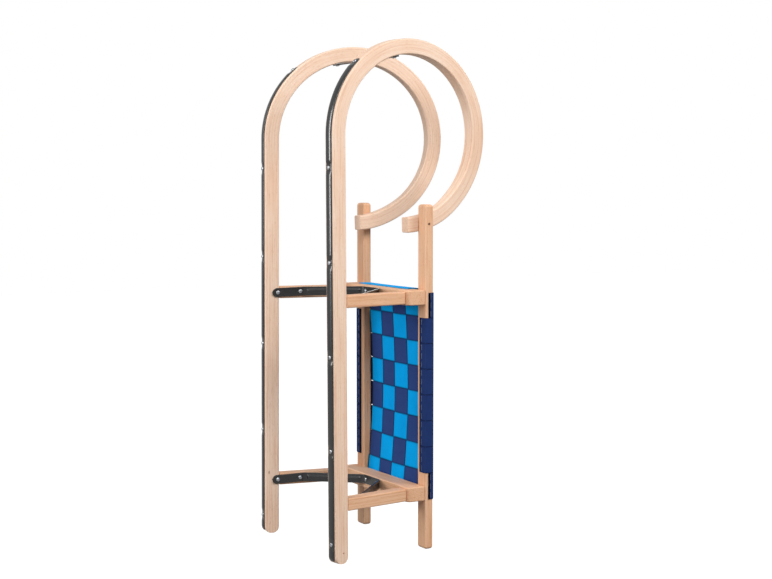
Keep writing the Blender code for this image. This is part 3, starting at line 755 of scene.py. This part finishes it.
for end, height in CROSSBAR_HEIGHTS:
    bm = bmesh.new()
    half = CROSSBAR_THICKNESS / 2
    block(bm, (-RAIL_OUTER_X, CROSSBAR_FACE_Y, height - half),
          (RAIL_OUTER_X, CROSSBAR_TOP_Y, height + half))
    corners = [e for e in bm.edges
               if all(v.co.y < CROSSBAR_FACE_Y + GAP for v in e.verts)
               and abs(e.verts[0].co.x - e.verts[1].co.x) < GAP]
    bmesh.ops.bevel(bm, geom=corners, offset=CROSSBAR_CORNER, segments=10, profile=0.5,
                    affect="EDGES", material=-1)
    soften(bm, CROSSBAR_ROUND)
    remember(bm, "timber", CROSSBAR_PLANKS[end], (1, 2, 0))
    make_piece("cross_" + end, bm, planed_beech, ["crossbar_" + end])

# %% Posts
POST_THICKNESS = 0.024
POST_SETBACK = 0.0005
POST_ROUND = 0.0026
POST_BLANK = 0.14
POST_PLANKS = {"front_left": (0.08, 0.04, 10.0), "front_right": (0.02, 0.04, 8.0),
              "rear_left": (0.08, -0.05, 11.0), "rear_right": (0.02, -0.05, 9.0)}

for end, height in CROSSBAR_HEIGHTS:
    for hand, side in SIDES:
        bm = bmesh.new()
        block(bm, (-RUNNER_WIDTH / 2, 0.0, -POST_THICKNESS / 2),
              (RUNNER_WIDTH / 2, POST_BLANK, POST_THICKNESS / 2))
        soften(bm, POST_ROUND)
        remember(bm, "timber", POST_PLANKS[end + "_" + hand], (0, 2, 1))
        for vert in bm.verts:
            u, reach, z = vert.co
            top = (CROSSBAR_FACE_Y - GAP - u * sin(RUNNER_LEAN)) / cos(RUNNER_LEAN)
            low = RUNNER_DEPTH + GAP
            v = low + (top - low) * reach / POST_BLANK
            vert.co = place(side, u, v, height - POST_SETBACK + z)
        make_piece("post_" + end + "_" + hand, bm, planed_beech,
                   ["leg_" + end + "_" + hand])

# %% [markdown]
# ## Steel skids
# Each sole has a rolled half-round steel strip, from the tail to about a fifth of the way round
# the horn. It is pressed flatter round each screw, which makes the highlight along it pinch and
# spread. The section is a circle with its lower half cut away, drawn out into a straight strip,
# pressed, narrowed at its ends and then laid round the sole.

# %% Steel skids
SKID_WIDTH = 0.017
SKID_HEIGHT = 0.003
SKID_WALL = 0.0009
SKID_DIMPLE = 0.42
DIMPLE_FROM = 0.0050
DIMPLE_TO = 0.0150
SKID_TAPER = 0.008
SKID_END_WIDTH = 0.45
SKID_END_HEIGHT = 0.6
SKID_TAIL_Z = 0.006
SKID_END_ANGLE = radians(50.3)
SKID_SCREW_Z = 0.037
SKID_SCREW_PITCH = 0.1783
SKID_SCREW_COUNT = 5
SKID_TOP_SCREW_ANGLE = radians(47.6)
SKID_END = HORN_START_Z + HORN_RADIUS_Z * SKID_END_ANGLE
SKID_SCREWS = [SKID_SCREW_Z + SKID_SCREW_PITCH * k for k in range(SKID_SCREW_COUNT)]
SKID_SCREWS.append(HORN_START_Z + HORN_RADIUS_Z * SKID_TOP_SCREW_ANGLE)


def sole_point(distance, out):
    """Point on the sole at a distance from the tail, moved out from the wood."""
    if distance < TAIL_RADIUS:
        a = (TAIL_RADIUS - distance) / TAIL_RADIUS
        reach = TAIL_RADIUS + out
        return TAIL_RADIUS - reach * cos(a), TAIL_RADIUS - reach * sin(a)
    if distance <= HORN_START_Z:
        return -out, distance
    return horn_point((distance - HORN_START_Z) / HORN_RADIUS_Z, -out)


print("skid, mm long:", round((SKID_END - SKID_TAIL_Z) * 1000, 1))

# %% Where the skid needs points
SKID_STEP = 0.005
DIMPLE_STEP = 0.0011
DIMPLE_STEPS = 14
TAPER_STEP = 0.0008
TAPER_STEPS = 12
CLOSEST_STOPS = 0.0005


def skid_stops():
    """Heights along the straight strip, close together where it is pressed or bent."""
    stops = set(round(s, 6) for s in steps(SKID_TAIL_Z, SKID_END, SKID_STEP))
    for spot in SKID_SCREWS:
        dimple = range(-DIMPLE_STEPS, DIMPLE_STEPS + 1)
        stops.update(round(spot + DIMPLE_STEP * k, 6) for k in dimple)
    stops.update(round(SKID_TAIL_Z + TAPER_STEP * k, 6) for k in range(TAPER_STEPS))
    stops.update(round(SKID_END - TAPER_STEP * k, 6) for k in range(TAPER_STEPS))
    ordered = sorted(s for s in stops if SKID_TAIL_Z <= s <= SKID_END)
    kept = [ordered[0]]
    for stop in ordered[1:]:
        if stop - kept[-1] > CLOSEST_STOPS:
            kept.append(stop)
    return kept


print("places along a skid:", len(skid_stops()))

# %% Pressing the skids and laying them round the soles
for hand, side in SIDES:
    bm = bmesh.new()
    bmesh.ops.create_circle(bm, cap_ends=True, segments=28, radius=1.0)
    for vert in bm.verts:
        crown = SKID_WALL + vert.co.y * (SKID_HEIGHT - SKID_WALL)
        h = crown if vert.co.y > -0.01 else 0.0
        vert.co = Vector((vert.co.x * SKID_WIDTH / 2, h, SKID_TAIL_Z))
    bmesh.ops.remove_doubles(bm, verts=bm.verts, dist=0.00001)
    bm.faces.ensure_lookup_table()
    draw_out(bm, bm.faces[0], skid_stops()[1:])
    for vert in bm.verts:
        u, h, d = vert.co
        near = min(abs(d - spot) for spot in SKID_SCREWS)
        taper = min((d - SKID_TAIL_Z) / SKID_TAPER, (SKID_END - d) / SKID_TAPER, 1.0)
        round_off = sqrt(max(1 - (1 - taper) ** 2, 0.0))
        press = SKID_DIMPLE + (1 - SKID_DIMPLE) * smooth_step(near, DIMPLE_FROM, DIMPLE_TO)
        press *= SKID_END_HEIGHT + (1 - SKID_END_HEIGHT) * taper
        v, z = sole_point(d, GAP + h * press)
        vert.co = place(side, u * (SKID_END_WIDTH + (1 - SKID_END_WIDTH) * round_off), v, z)
    make_piece("skid_strip_" + hand, bm, black_steel, ["skid_" + hand],
               STEEL_SMOOTH)

# %% [markdown]
# ## Steel straps
# A flat steel strap ties each pair of posts to its crossbar. It starts as a tab on the inner side
# of one runner, bends and slopes up to the crossbar, lies flat under it, and comes down the other
# side the same way. A long rib is pressed into each sloping part to stiffen it. The strap is a
# flat grid with round ends. The rib lifts the middle of the grid, and then the strip is folded
# along a line whose corners are rounded.

# %% A strap's line
STRAP_WIDTH = 0.018
STRAP_THICKNESS = 0.003
STRAP_TAB_FROM = 0.015
STRAP_TAB_TO = 0.082
STRAP_FLAT_HALF = 0.032
STRAP_RISE = 0.0055
STRAP_DROP = 0.001
STRAP_BEND = 0.007
BEND_STEPS = 10


def strap_line(tab_z):
    """Centre line of half a strap, from its middle out to the tab's end, as close points."""
    u = -(RUNNER_WIDTH / 2 + GAP + STRAP_THICKNESS / 2)
    tab = [place(1, u, v, tab_z).to_2d() for v in (STRAP_TAB_TO, STRAP_TAB_FROM)]
    flat_y = CROSSBAR_FACE_Y - GAP - STRAP_THICKNESS / 2
    corners = [Vector((0.0, flat_y)), Vector((STRAP_FLAT_HALF, flat_y)), *tab]
    line = [corners[0]]
    for before, corner, after in zip(corners, corners[1:], corners[2:]):
        into, out = (corner - before).normalized(), (after - corner).normalized()
        for k in range(BEND_STEPS + 1):
            t = k / BEND_STEPS
            line.append((corner - into * STRAP_BEND) * (1 - t) ** 2 + corner * (2 * t * (1 - t))
                        + (corner + out * STRAP_BEND) * t ** 2)
    return line + [corners[-1]]


def measured(line):
    """Distance along a line at each of its points."""
    marks = [0.0]
    for a, b in zip(line, line[1:]):
        marks.append(marks[-1] + (b - a).length)
    return marks


def on_line(line, marks, distance):
    """Point and direction of a line at a distance from its start."""
    k = 0
    while k < len(line) - 2 and marks[k + 1] < distance:
        k += 1
    along = (line[k + 1] - line[k]).normalized()
    return line[k] + along * (distance - marks[k]), along


print("half a strap, mm:", round(measured(strap_line(FRONT_Z))[-1] * 1000, 1))

# %% Steel straps
STRAP_COLUMNS = 18
STRAP_STEP = 0.0012
STRAP_EASE = 0.0006
STRAP_END_TAPER = 0.06
RIB_HEIGHT = 0.0022
RIB_END = 0.0045
RIB_FROM_BEND = 0.8
RIB_TO_BEND = 0.9
RIB_TOP = 0.30
RIB_FOOT = 0.52
SAWN_ANGLE = radians(60)


def strap_piece(name, tab_z, node):
    """Cut a flat strap with round ends, press its ribs and fold it along its line."""
    line = strap_line(tab_z)
    marks = measured(line)
    reach = marks[-1]
    half = STRAP_WIDTH / 2
    rib_from = STRAP_FLAT_HALF + STRAP_BEND * RIB_FROM_BEND
    rib_to = reach - (STRAP_TAB_TO - STRAP_TAB_FROM) - STRAP_BEND * RIB_TO_BEND
    bm = bmesh.new()
    rows = ceil(2 * reach / STRAP_STEP)
    bmesh.ops.create_grid(bm, x_segments=STRAP_COLUMNS, y_segments=rows, size=0.5)
    for vert in bm.verts:
        vert.co = Vector((vert.co.x * STRAP_WIDTH, 0.0, vert.co.y * 2 * reach))
    lower = bmesh.ops.extrude_face_region(bm, geom=list(bm.faces))["geom"]
    bmesh.ops.translate(bm, verts=[g for g in lower if isinstance(g, bmesh.types.BMVert)],
                        vec=(0.0, -STRAP_THICKNESS, 0.0))
    soften(bm, STRAP_EASE, 2, SAWN_ANGLE)
    for vert in bm.verts:
        w, h, t = vert.co.x / half, vert.co.y + STRAP_THICKNESS / 2, vert.co.z
        side = 1 if t >= 0 else -1
        distance = min(abs(t), reach)
        left = min((reach - distance) / half, 1.0)
        w *= sqrt(max(1 - (1 - left) ** 2, 0.0)) * (1 - STRAP_END_TAPER) + STRAP_END_TAPER * left
        point, along = on_line(line, marks, distance)
        normal = Vector((along.y, -along.x)) if along.y else Vector((0.0, -1.0))
        normal = -normal if normal.y > 0 else normal
        length_share = smooth_step(distance, rib_from, rib_from + RIB_END)
        length_share *= 1 - smooth_step(distance, rib_to - RIB_END, rib_to)
        rib = RIB_HEIGHT * length_share * (1 - smooth_step(abs(w), RIB_TOP, RIB_FOOT))
        rise = STRAP_RISE * min(max(point.y / CROSSBAR_FACE_Y, 0.0), 1.0)
        point = point + normal * (h + rib)
        vert.co = Vector((side * point.x, point.y, tab_z + rise + w * half))
    make_piece(name, bm, black_steel, [node], STEEL_SMOOTH)


for end, height in CROSSBAR_HEIGHTS:
    strap_piece("strap_" + end, height - STRAP_DROP, "bracket_" + end)

# %% [markdown]
# ## The strut between the horns
# A flat bar with round ends is screwed to the hollow side of both horns and keeps them apart. Its
# outline is a circle, pulled apart in the middle, given its thickness and a small bevel.

# %% The strut between the horns
STRUT_ANGLE = radians(78.0)
STRUT_WIDTH = 0.019
STRUT_THICKNESS = 0.0025
STRUT_OVERHANG = 0.0095
STRUT_GAP = 0.0007
STRUT_EASE = 0.0005
STRUT_DEPTH = RUNNER_DEPTH + STRUT_GAP + STRUT_THICKNESS / 2

strut_v, strut_z = horn_point(STRUT_ANGLE, STRUT_DEPTH)
deeper_v, deeper_z = horn_point(STRUT_ANGLE, STRUT_DEPTH + STRUT_WIDTH)
strut_centre = place(1, 0, strut_v, strut_z, horn_pull(STRUT_ANGLE))
strut_inward = Vector((0, (deeper_v - strut_v) * cos(RUNNER_LEAN), deeper_z - strut_z)).normalized()
strut_along = strut_inward.cross(Vector((1, 0, 0)))
strut_turn = Matrix((Vector((1, 0, 0)), strut_along, Vector((1, 0, 0)).cross(strut_along)))
strut_turn = strut_turn.transposed().to_4x4()

bm = bmesh.new()
bmesh.ops.create_circle(bm, cap_ends=True, segments=40, radius=STRUT_WIDTH / 2)
reach = strut_centre.x + STRUT_OVERHANG - STRUT_WIDTH / 2
for vert in bm.verts:
    vert.co.x += reach if vert.co.x > 0 else -reach
    vert.co.z = -STRUT_THICKNESS / 2
bm.faces.ensure_lookup_table()
draw_out(bm, bm.faces[0], [STRUT_THICKNESS / 2])
soften(bm, STRUT_EASE, 2, SAWN_ANGLE)
bmesh.ops.transform(bm, verts=bm.verts,
                    matrix=Matrix.Translation((0, strut_centre.y, strut_centre.z)) @ strut_turn)
make_piece("horn_bar", bm, black_steel, ["horn_strut"])

# %% [markdown]
# ## Screws
# All screws are zinc plated pan heads with a cross recess. The head is a short profile spun round
# its axis, and the cross is cut out with two crossed blocks. One head is made, and then copied to
# every seat with its own turn, because a driver never leaves two screws alike.

# %% One screw head
HEAD_RADIUS = 0.0041
HEAD_HEIGHT = 0.0020
RECESS_WIDTH = 0.0015
RECESS_DEPTH = 0.0014
RECESS_REACH = 1.25

# Half the head's outline, from the top to the rim and back, as shares of its radius and height.
HEAD_OUTLINE = ((0.0, 1.0), (0.40, 0.99), (0.68, 0.90), (0.88, 0.68), (0.98, 0.36), (1.0, 0.0),
                (0.0, 0.0))

bm = bmesh.new()
points = [bm.verts.new((HEAD_RADIUS * r, 0.0, HEAD_HEIGHT * h)) for r, h in HEAD_OUTLINE]
chain = [bm.edges.new(pair) for pair in zip(points, points[1:])]
bmesh.ops.spin(bm, geom=points + chain, cent=(0, 0, 0), axis=(0, 0, 1), angle=2 * pi, steps=24,
               use_merge=True)
bmesh.ops.remove_doubles(bm, verts=bm.verts, dist=0.00001)
bmesh.ops.recalc_face_normals(bm, faces=bm.faces)
arm = HEAD_RADIUS * RECESS_REACH
for wide, deep in ((arm, RECESS_WIDTH), (RECESS_WIDTH, arm)):
    bar = bmesh.new()
    block(bar, (-wide / 2, -deep / 2, HEAD_HEIGHT - RECESS_DEPTH),
          (wide / 2, deep / 2, HEAD_HEIGHT + RECESS_DEPTH))
    bm = cut(bm, bar)
head_mesh = bpy.data.meshes.new("screw_head")
bm.to_mesh(head_mesh)
bm.free()
print("faces in a head:", len(head_mesh.polygons))

# %% Screw seats
TAB_SCREW_V = (0.026, 0.074)
FLAT_SCREW_X = 0.0235
HORN_SCREW_SIZE = 0.55
seats = []


def seat(node, at, out, spin, size=1.0):
    """Note one screw: its node, the point under its head, the way it faces and its turn."""
    turn = out.to_track_quat("Z", "Y").to_matrix().to_4x4()
    seats.append((node, Matrix.Translation(at) @ turn @ Matrix.Rotation(spin, 4, "Z")
                  @ Matrix.Scale(size, 4)))


for hand, side in SIDES:
    for index, d in enumerate(SKID_SCREWS):
        v0, z0 = sole_point(d, 0.0)
        v1, z1 = sole_point(d, HEAD_HEIGHT)
        v, z = sole_point(d, 2 * GAP + SKID_HEIGHT * SKID_DIMPLE)
        out = (place(side, 0, v1 - v0, z1 - z0) - place(side, 0, 0, 0)).normalized()
        seat("skid_screw_" + hand + "_" + str(index + 1), place(side, 0, v, z), out,
             spin=0.5 + 0.9 * index)
    under_head = strut_centre + strut_inward * (STRUT_THICKNESS / 2 + GAP)
    seat("strut_screw_" + hand, Vector((side * strut_centre.x, *under_head.yz)), strut_inward,
         spin=0.7)
    sunk = Vector((side * (RAIL_OUTER_X - HORN_SCREW_SINK + GAP), HORN_SCREW_Y, HORN_SCREW_Z))
    seat("horn_end_screw_" + hand, sunk, Vector((side, 0, 0)), spin=0.2,
         size=HORN_SCREW_SIZE)
    inward = (place(side, -1, 0, 0) - place(side, 0, 0, 0)).normalized()
    for end, height in CROSSBAR_HEIGHTS:
        lift = RUNNER_WIDTH / 2 + 2 * GAP + STRAP_THICKNESS
        stem = "bracket_screw_" + end + "_" + hand + "_"
        for index, v in enumerate(TAB_SCREW_V):
            rise = STRAP_RISE * v * cos(RUNNER_LEAN) / CROSSBAR_FACE_Y
            seat(stem + str(index + 1), place(side, -lift, v, height - STRAP_DROP + rise), inward,
                 spin=0.4 + index)
        below = Vector((side * FLAT_SCREW_X, CROSSBAR_FACE_Y - 2 * GAP - STRAP_THICKNESS,
                        height - STRAP_DROP + STRAP_RISE))
        seat(stem + "3", below, Vector((0, -1, 0)), spin=0.3 * side)

print("screws:", len(seats))

# %% Driving the screws
bm = bmesh.new()
for node, matrix in seats:
    before = len(bm.verts)
    bm.from_mesh(head_mesh)
    bm.verts.ensure_lookup_table()
    bmesh.ops.transform(bm, verts=bm.verts[before:], matrix=matrix)
bpy.data.meshes.remove(head_mesh)
make_piece("screws", bm, bright_zinc, [node for node, matrix in seats],
           SCREW_SMOOTH)

# %% [markdown]
# ## Woven seat
# Eight navy bands, the weft, run across, over both rails and round under them. Four light blue
# bands, the warp, run lengthwise, over and under the navy ones, and are turned down over the outer
# faces of the crossbars. The weave is pulled tight: it sags a little in the middle, is drawn down
# at both crossbars, and each navy band is pulled narrower just inside the rails. A band is a flat
# grid of cloth. Its flat place is remembered for the weave pattern, and then its points are laid
# along a path that passes over and under the crossing bands.

# %% The weave's surface
WEBBING_THICKNESS = 0.0014
WEFT_COUNT = 8
WARP_COUNT = 4
WEFT_PAST_FRONT = 0.0093
WEFT_PAST_REAR = 0.0122
WARP_TO_RAIL = 0.0095
WEFT_TOP_Z = FRONT_Z + WEFT_PAST_FRONT
WEFT_PITCH = (WEFT_TOP_Z - REAR_Z + WEFT_PAST_REAR) / WEFT_COUNT
WEFT_DRIFT = 0.000207
WARP_PITCH = 2 * (RAIL_INNER_X - WARP_TO_RAIL) / WARP_COUNT
LAYER = (WEBBING_THICKNESS + GAP) / 2
WEB_HALF = WEBBING_THICKNESS / 2
WEFT_REST_Y = RAIL_TOP_Y + GAP + WEB_HALF
SEAT_SAG = 0.0057
DIP_FRONT = 0.0115
DIP_REAR = 0.0150
DIP_REACH = 0.170
DIP_CROWN = 0.30
DIP_CURVE = 1.7
CROSS_SOFT = 0.0011
# Painted shade at each crossing of bands: its half width and its strength.
CREASE_SHADE_HALF = 0.0020
CREASE_SHADE_DEPTH = 0.82
SEAM_GAP = 0.0001


def weft_edge(k):
    """Height of the seam above navy band k, counted from the front. The bands widen a little."""
    return WEFT_TOP_Z - WEFT_PITCH * k + WEFT_DRIFT * k * (WEFT_COUNT - k)


def warp_edge(k):
    """Place across of the seam before light blue band k, counted from the right."""
    return (k - WARP_COUNT / 2) * WARP_PITCH


def seat_y(x, z):
    """Middle of the weave at a point of the seat."""
    share = min(abs(x) / RAIL_INNER_X, 1.0) ** 2
    half = CROSSBAR_THICKNESS / 2
    front = max(0.0, 1 - max(FRONT_Z - half - z, 0.0) / DIP_REACH) ** DIP_CURVE
    rear = max(0.0, 1 - max(z - REAR_Z - half, 0.0) / DIP_REACH) ** DIP_CURVE
    sag = SEAT_SAG * (1 - share) * (1 - front) * (1 - rear)
    return WEFT_REST_Y - sag - (DIP_FRONT * front + DIP_REAR * rear) * (1 - DIP_CROWN * share)


def crossing_level(value, edges):
    """Over is 1 and under is -1, changing softly wherever the value passes an edge."""
    level = 1.0
    for edge in edges:
        level *= tanh((edge - value) / CROSS_SOFT)
    return level


def crease_shade(value, edges):
    """How much painted shade the cloth takes where bands cross, from 0 to 1."""
    near = min(abs(value - edge) for edge in edges)
    return CREASE_SHADE_DEPTH * exp(-(near / CREASE_SHADE_HALF) ** 2)


print("weft pitch, mm:", round(WEFT_PITCH * 1000, 2))

# %% Laying a band
BAND_COLUMNS = 14
BAND_STEP = 0.0009
BAND_EASE = 0.00045


def blended_normal(path, k, share):
    """Direction square to the path, turned gradually from point to point."""
    def square(i):
        a, b = path[max(i - 1, 0)], path[min(i + 1, len(path) - 1)]
        along = (b - a).normalized()
        return Vector((-along.y, along.x))
    return (square(k) * (1 - share) + square(k + 1) * share).normalized()


def band_piece(name, path, half, material, node, lay):
    """Lay a flat band of cloth along a path. lay gives each point its place and its painted shade or
    binding dark.
    """
    marks = measured(path)
    length = marks[-1]
    bm = bmesh.new()
    rows = ceil(length / BAND_STEP)
    bmesh.ops.create_grid(bm, x_segments=BAND_COLUMNS, y_segments=rows, size=0.5)
    for vert in bm.verts:
        vert.co = Vector((vert.co.x * 2 * half, 0.0, (vert.co.y + 0.5) * length))
    lower = bmesh.ops.extrude_face_region(bm, geom=list(bm.faces))["geom"]
    bmesh.ops.translate(bm, verts=[g for g in lower if isinstance(g, bmesh.types.BMVert)],
                        vec=(0.0, -WEBBING_THICKNESS, 0.0))
    bmesh.ops.translate(bm, verts=bm.verts, vec=(0.0, WEB_HALF, 0.0))
    soften(bm, BAND_EASE, 2, SAWN_ANGLE)
    cloth = bm.verts.layers.float_vector.new("cloth")
    back = bm.verts.layers.float.new("back")
    k = 0
    for vert in sorted(bm.verts, key=lambda vert: vert.co.z):
        w, h, d = vert.co
        while k < len(path) - 2 and marks[k + 1] < d:
            k += 1
        share = (d - marks[k]) / max(marks[k + 1] - marks[k], 1e-9)
        point = path[k].lerp(path[k + 1], share)
        vert.co, shade_or_binding = lay(point, blended_normal(path, k, share), w, h, min(d, length - d))
        vert[cloth] = Vector((w * WEBBING_HALF_WIDTH / half, shade_or_binding, d))
        vert[back] = 1.0 if h < 0 else 0.0
    made = make_piece(name, bm, material, [node], CLOTH_SMOOTH)


print("band step, mm:", BAND_STEP * 1000)

# %% Round a rail
HEM_UNDER_X = 0.1212
HEM_SIDE_Y = 0.2192
WARP_EDGES = [warp_edge(k) for k in range(WARP_COUNT + 1)]
SEAT_HALF = WARP_EDGES[-1]


def wrap_path(side, at_side_face):
    """Path of a lateral band from the seat's edge over one rail, as x and y."""
    turn = RAIL_ROUND + GAP + WEB_HALF
    inner, outer = RAIL_INNER_X + RAIL_ROUND, RAIL_OUTER_X - RAIL_ROUND
    high, low = RAIL_TOP_Y - RAIL_ROUND, RAIL_UNDERSIDE_Y + RAIL_ROUND
    quarter = [k * pi / 16 for k in range(9)]
    points = [(inner + turn * cos(a), high + turn * sin(a))
              for a in (radians(132), radians(120), radians(105), pi / 2)]
    points += [(outer + turn * sin(a), high + turn * cos(a)) for a in quarter]
    if at_side_face:
        points.append((outer + turn, HEM_SIDE_Y))
    else:
        points += [(outer + turn * cos(a), low - turn * sin(a)) for a in quarter]
        points.append((HEM_UNDER_X, low - turn))
    return [Vector((side * x, y)) for x, y in points]


print("seat, mm across:", round(2 * SEAT_HALF * 1000, 1))

# %% Lateral bands
PATH_STEP = 0.0008
PATH_PAST_SEAT = 0.004
FADE_FROM = 0.001
FADE_TO = 0.003
RAIL_PULL = 0.030
PULL_FROM_RAIL = 0.005
PULL_X = RAIL_INNER_X - PULL_FROM_RAIL
PULL_HALF = 0.0055
# Painted shade on the underside between the seat's edge and the rail, reaching this far past the rail's
# inner face.
TUCK_SHADE = 0.85
TUCK_PAST_EDGE = 0.002
BOUND_END = 0.0038


def lateral_band(row):
    """A navy band. The first and last end on the rails' sides, the rest under the rails."""
    high, low = weft_edge(row), weft_edge(row + 1)
    middle = (high + low) / 2
    first = 1 if row % 2 else -1
    short = row in (0, WEFT_COUNT - 1)
    across = []
    for x in steps(-SEAT_HALF - PATH_PAST_SEAT, SEAT_HALF + PATH_PAST_SEAT, PATH_STEP):
        fade = 1 - smooth_step(abs(x), SEAT_HALF - FADE_FROM, SEAT_HALF + FADE_TO)
        lift = first * LAYER * fade * crossing_level(x, WARP_EDGES[1:-1])
        across.append(Vector((x, seat_y(x, middle) + lift)))
    path = wrap_path(-1, short)[::-1] + across + wrap_path(1, short)

    def lay(point, normal, w, h, to_end):
        out = abs(point.x)
        on_seat = 1 - smooth_step(out, SEAT_HALF, RAIL_INNER_X)
        drop = on_seat * (seat_y(point.x, middle + w) - seat_y(point.x, middle))
        pulled = exp(-((out - PULL_X) / PULL_HALF) ** 2)
        place_at = Vector((point.x + normal.x * h, point.y + normal.y * h + drop,
                           middle + w * (1 - RAIL_PULL * pulled)))
        # Painted shade where the bands cross and where the underside tucks down to the rail; the bound
        # end is dark in its own right.
        shade_or_binding = crease_shade(point.x, WARP_EDGES)
        if h < 0 and SEAT_HALF < out < RAIL_INNER_X + TUCK_PAST_EDGE:
            shade_or_binding = TUCK_SHADE
        if to_end < BOUND_END and (short or point.y < RAIL_TOP_Y - RAIL_THICKNESS / 2):
            shade_or_binding = 1.0
        return place_at, shade_or_binding

    band_piece("navy_band_" + str(row + 1), path, (high - low - SEAM_GAP) / 2, navy,
               "webbing_lateral_" + str(row + 1), lay)


for row in range(WEFT_COUNT):
    lateral_band(row)

# %% Over a crossbar
FLAP_RADIUS = 0.0025
FLAP_END_Y = 0.1950
FLAP_STEPS = 6
WEFT_EDGES = [weft_edge(k) for k in range(WEFT_COUNT + 1)]


def flap(x, crossbar_z, direction):
    """Long band's end over the outer face of a crossbar, as z and y."""
    face = crossbar_z + direction * (CROSSBAR_THICKNESS / 2 + GAP + WEB_HALF)
    edge = face - direction * FLAP_RADIUS
    top = seat_y(x, edge) - FLAP_RADIUS
    quarter = [k * pi / 2 / FLAP_STEPS for k in range(FLAP_STEPS + 1)]
    bend = [(edge + direction * FLAP_RADIUS * sin(a), top + FLAP_RADIUS * cos(a)) for a in quarter]
    return [Vector(p) for p in bend + [(face, FLAP_END_Y)]]


print("seat, mm long:", round((WEFT_EDGES[0] - WEFT_EDGES[-1]) * 1000, 1))

# %% Lengthwise bands
PATH_FROM_BEND = 0.002


def lengthwise_band(column):
    """A light blue band, from one crossbar's outer face to the other's."""
    middle = (warp_edge(column) + warp_edge(column + 1)) / 2
    first = -1 if column % 2 else 1
    front = flap(middle, FRONT_Z, 1)
    rear = flap(middle, REAR_Z, -1)
    seat_part = []
    for z in steps(rear[0].x + PATH_FROM_BEND, front[0].x - PATH_FROM_BEND, PATH_STEP)[::-1]:
        lift = first * LAYER * -crossing_level(z, WEFT_EDGES[1:-1])
        seat_part.append(Vector((z, seat_y(middle, z) + lift)))
    path = front[::-1] + seat_part + rear

    def lay(point, normal, w, h, to_end):
        drop = seat_y(middle + w, point.x) - seat_y(middle, point.x)
        place_at = Vector((middle + w, point.y - normal.y * h + drop, point.x - normal.x * h))
        # Painted shade where the bands cross.
        return place_at, crease_shade(point.x, WEFT_EDGES)

    band_piece("blue_band_" + str(column + 1), path, (WARP_PITCH - SEAM_GAP) / 2, light_blue,
               "webbing_long_" + str(column + 1), lay)


for column in range(WARP_COUNT):
    lengthwise_band(column)

# %% [markdown]
# ## Staples
# Each lateral band is held by three steel staples at each end, shot in beside the hem. Only the
# crown shows. It is a thin bar with rounded ends, so small blocks with a bevel are enough, and all
# of them are one piece.

# %% Staples
STAPLE_LENGTH = 0.011
STAPLE_WIRE = 0.0007
STAPLE_PROUD = 0.0004
STAPLE_EASE = 0.0003
STAPLE_SIDE_Y = 0.2240
STAPLE_UNDER_X = 0.1298

bm = bmesh.new()
count = 0
for row in range(WEFT_COUNT):
    high, low = weft_edge(row), weft_edge(row + 1)
    for third in (1 / 6, 3 / 6, 5 / 6):
        z = high + (low - high) * third
        for hand, side in SIDES:
            if row in (0, WEFT_COUNT - 1):
                at = Vector((side * (RAIL_OUTER_X + GAP + WEBBING_THICKNESS), STAPLE_SIDE_Y, z))
                size = Vector((STAPLE_PROUD * 2, STAPLE_WIRE, STAPLE_LENGTH))
            else:
                at = Vector((side * STAPLE_UNDER_X, RAIL_UNDERSIDE_Y - GAP - WEBBING_THICKNESS, z))
                size = Vector((STAPLE_WIRE, STAPLE_PROUD * 2, STAPLE_LENGTH))
            block(bm, at - size / 2, at + size / 2)
            count += 1
soften(bm, STAPLE_EASE, 2)
print("staples:", count)
make_piece("staples", bm, dull_zinc, [])
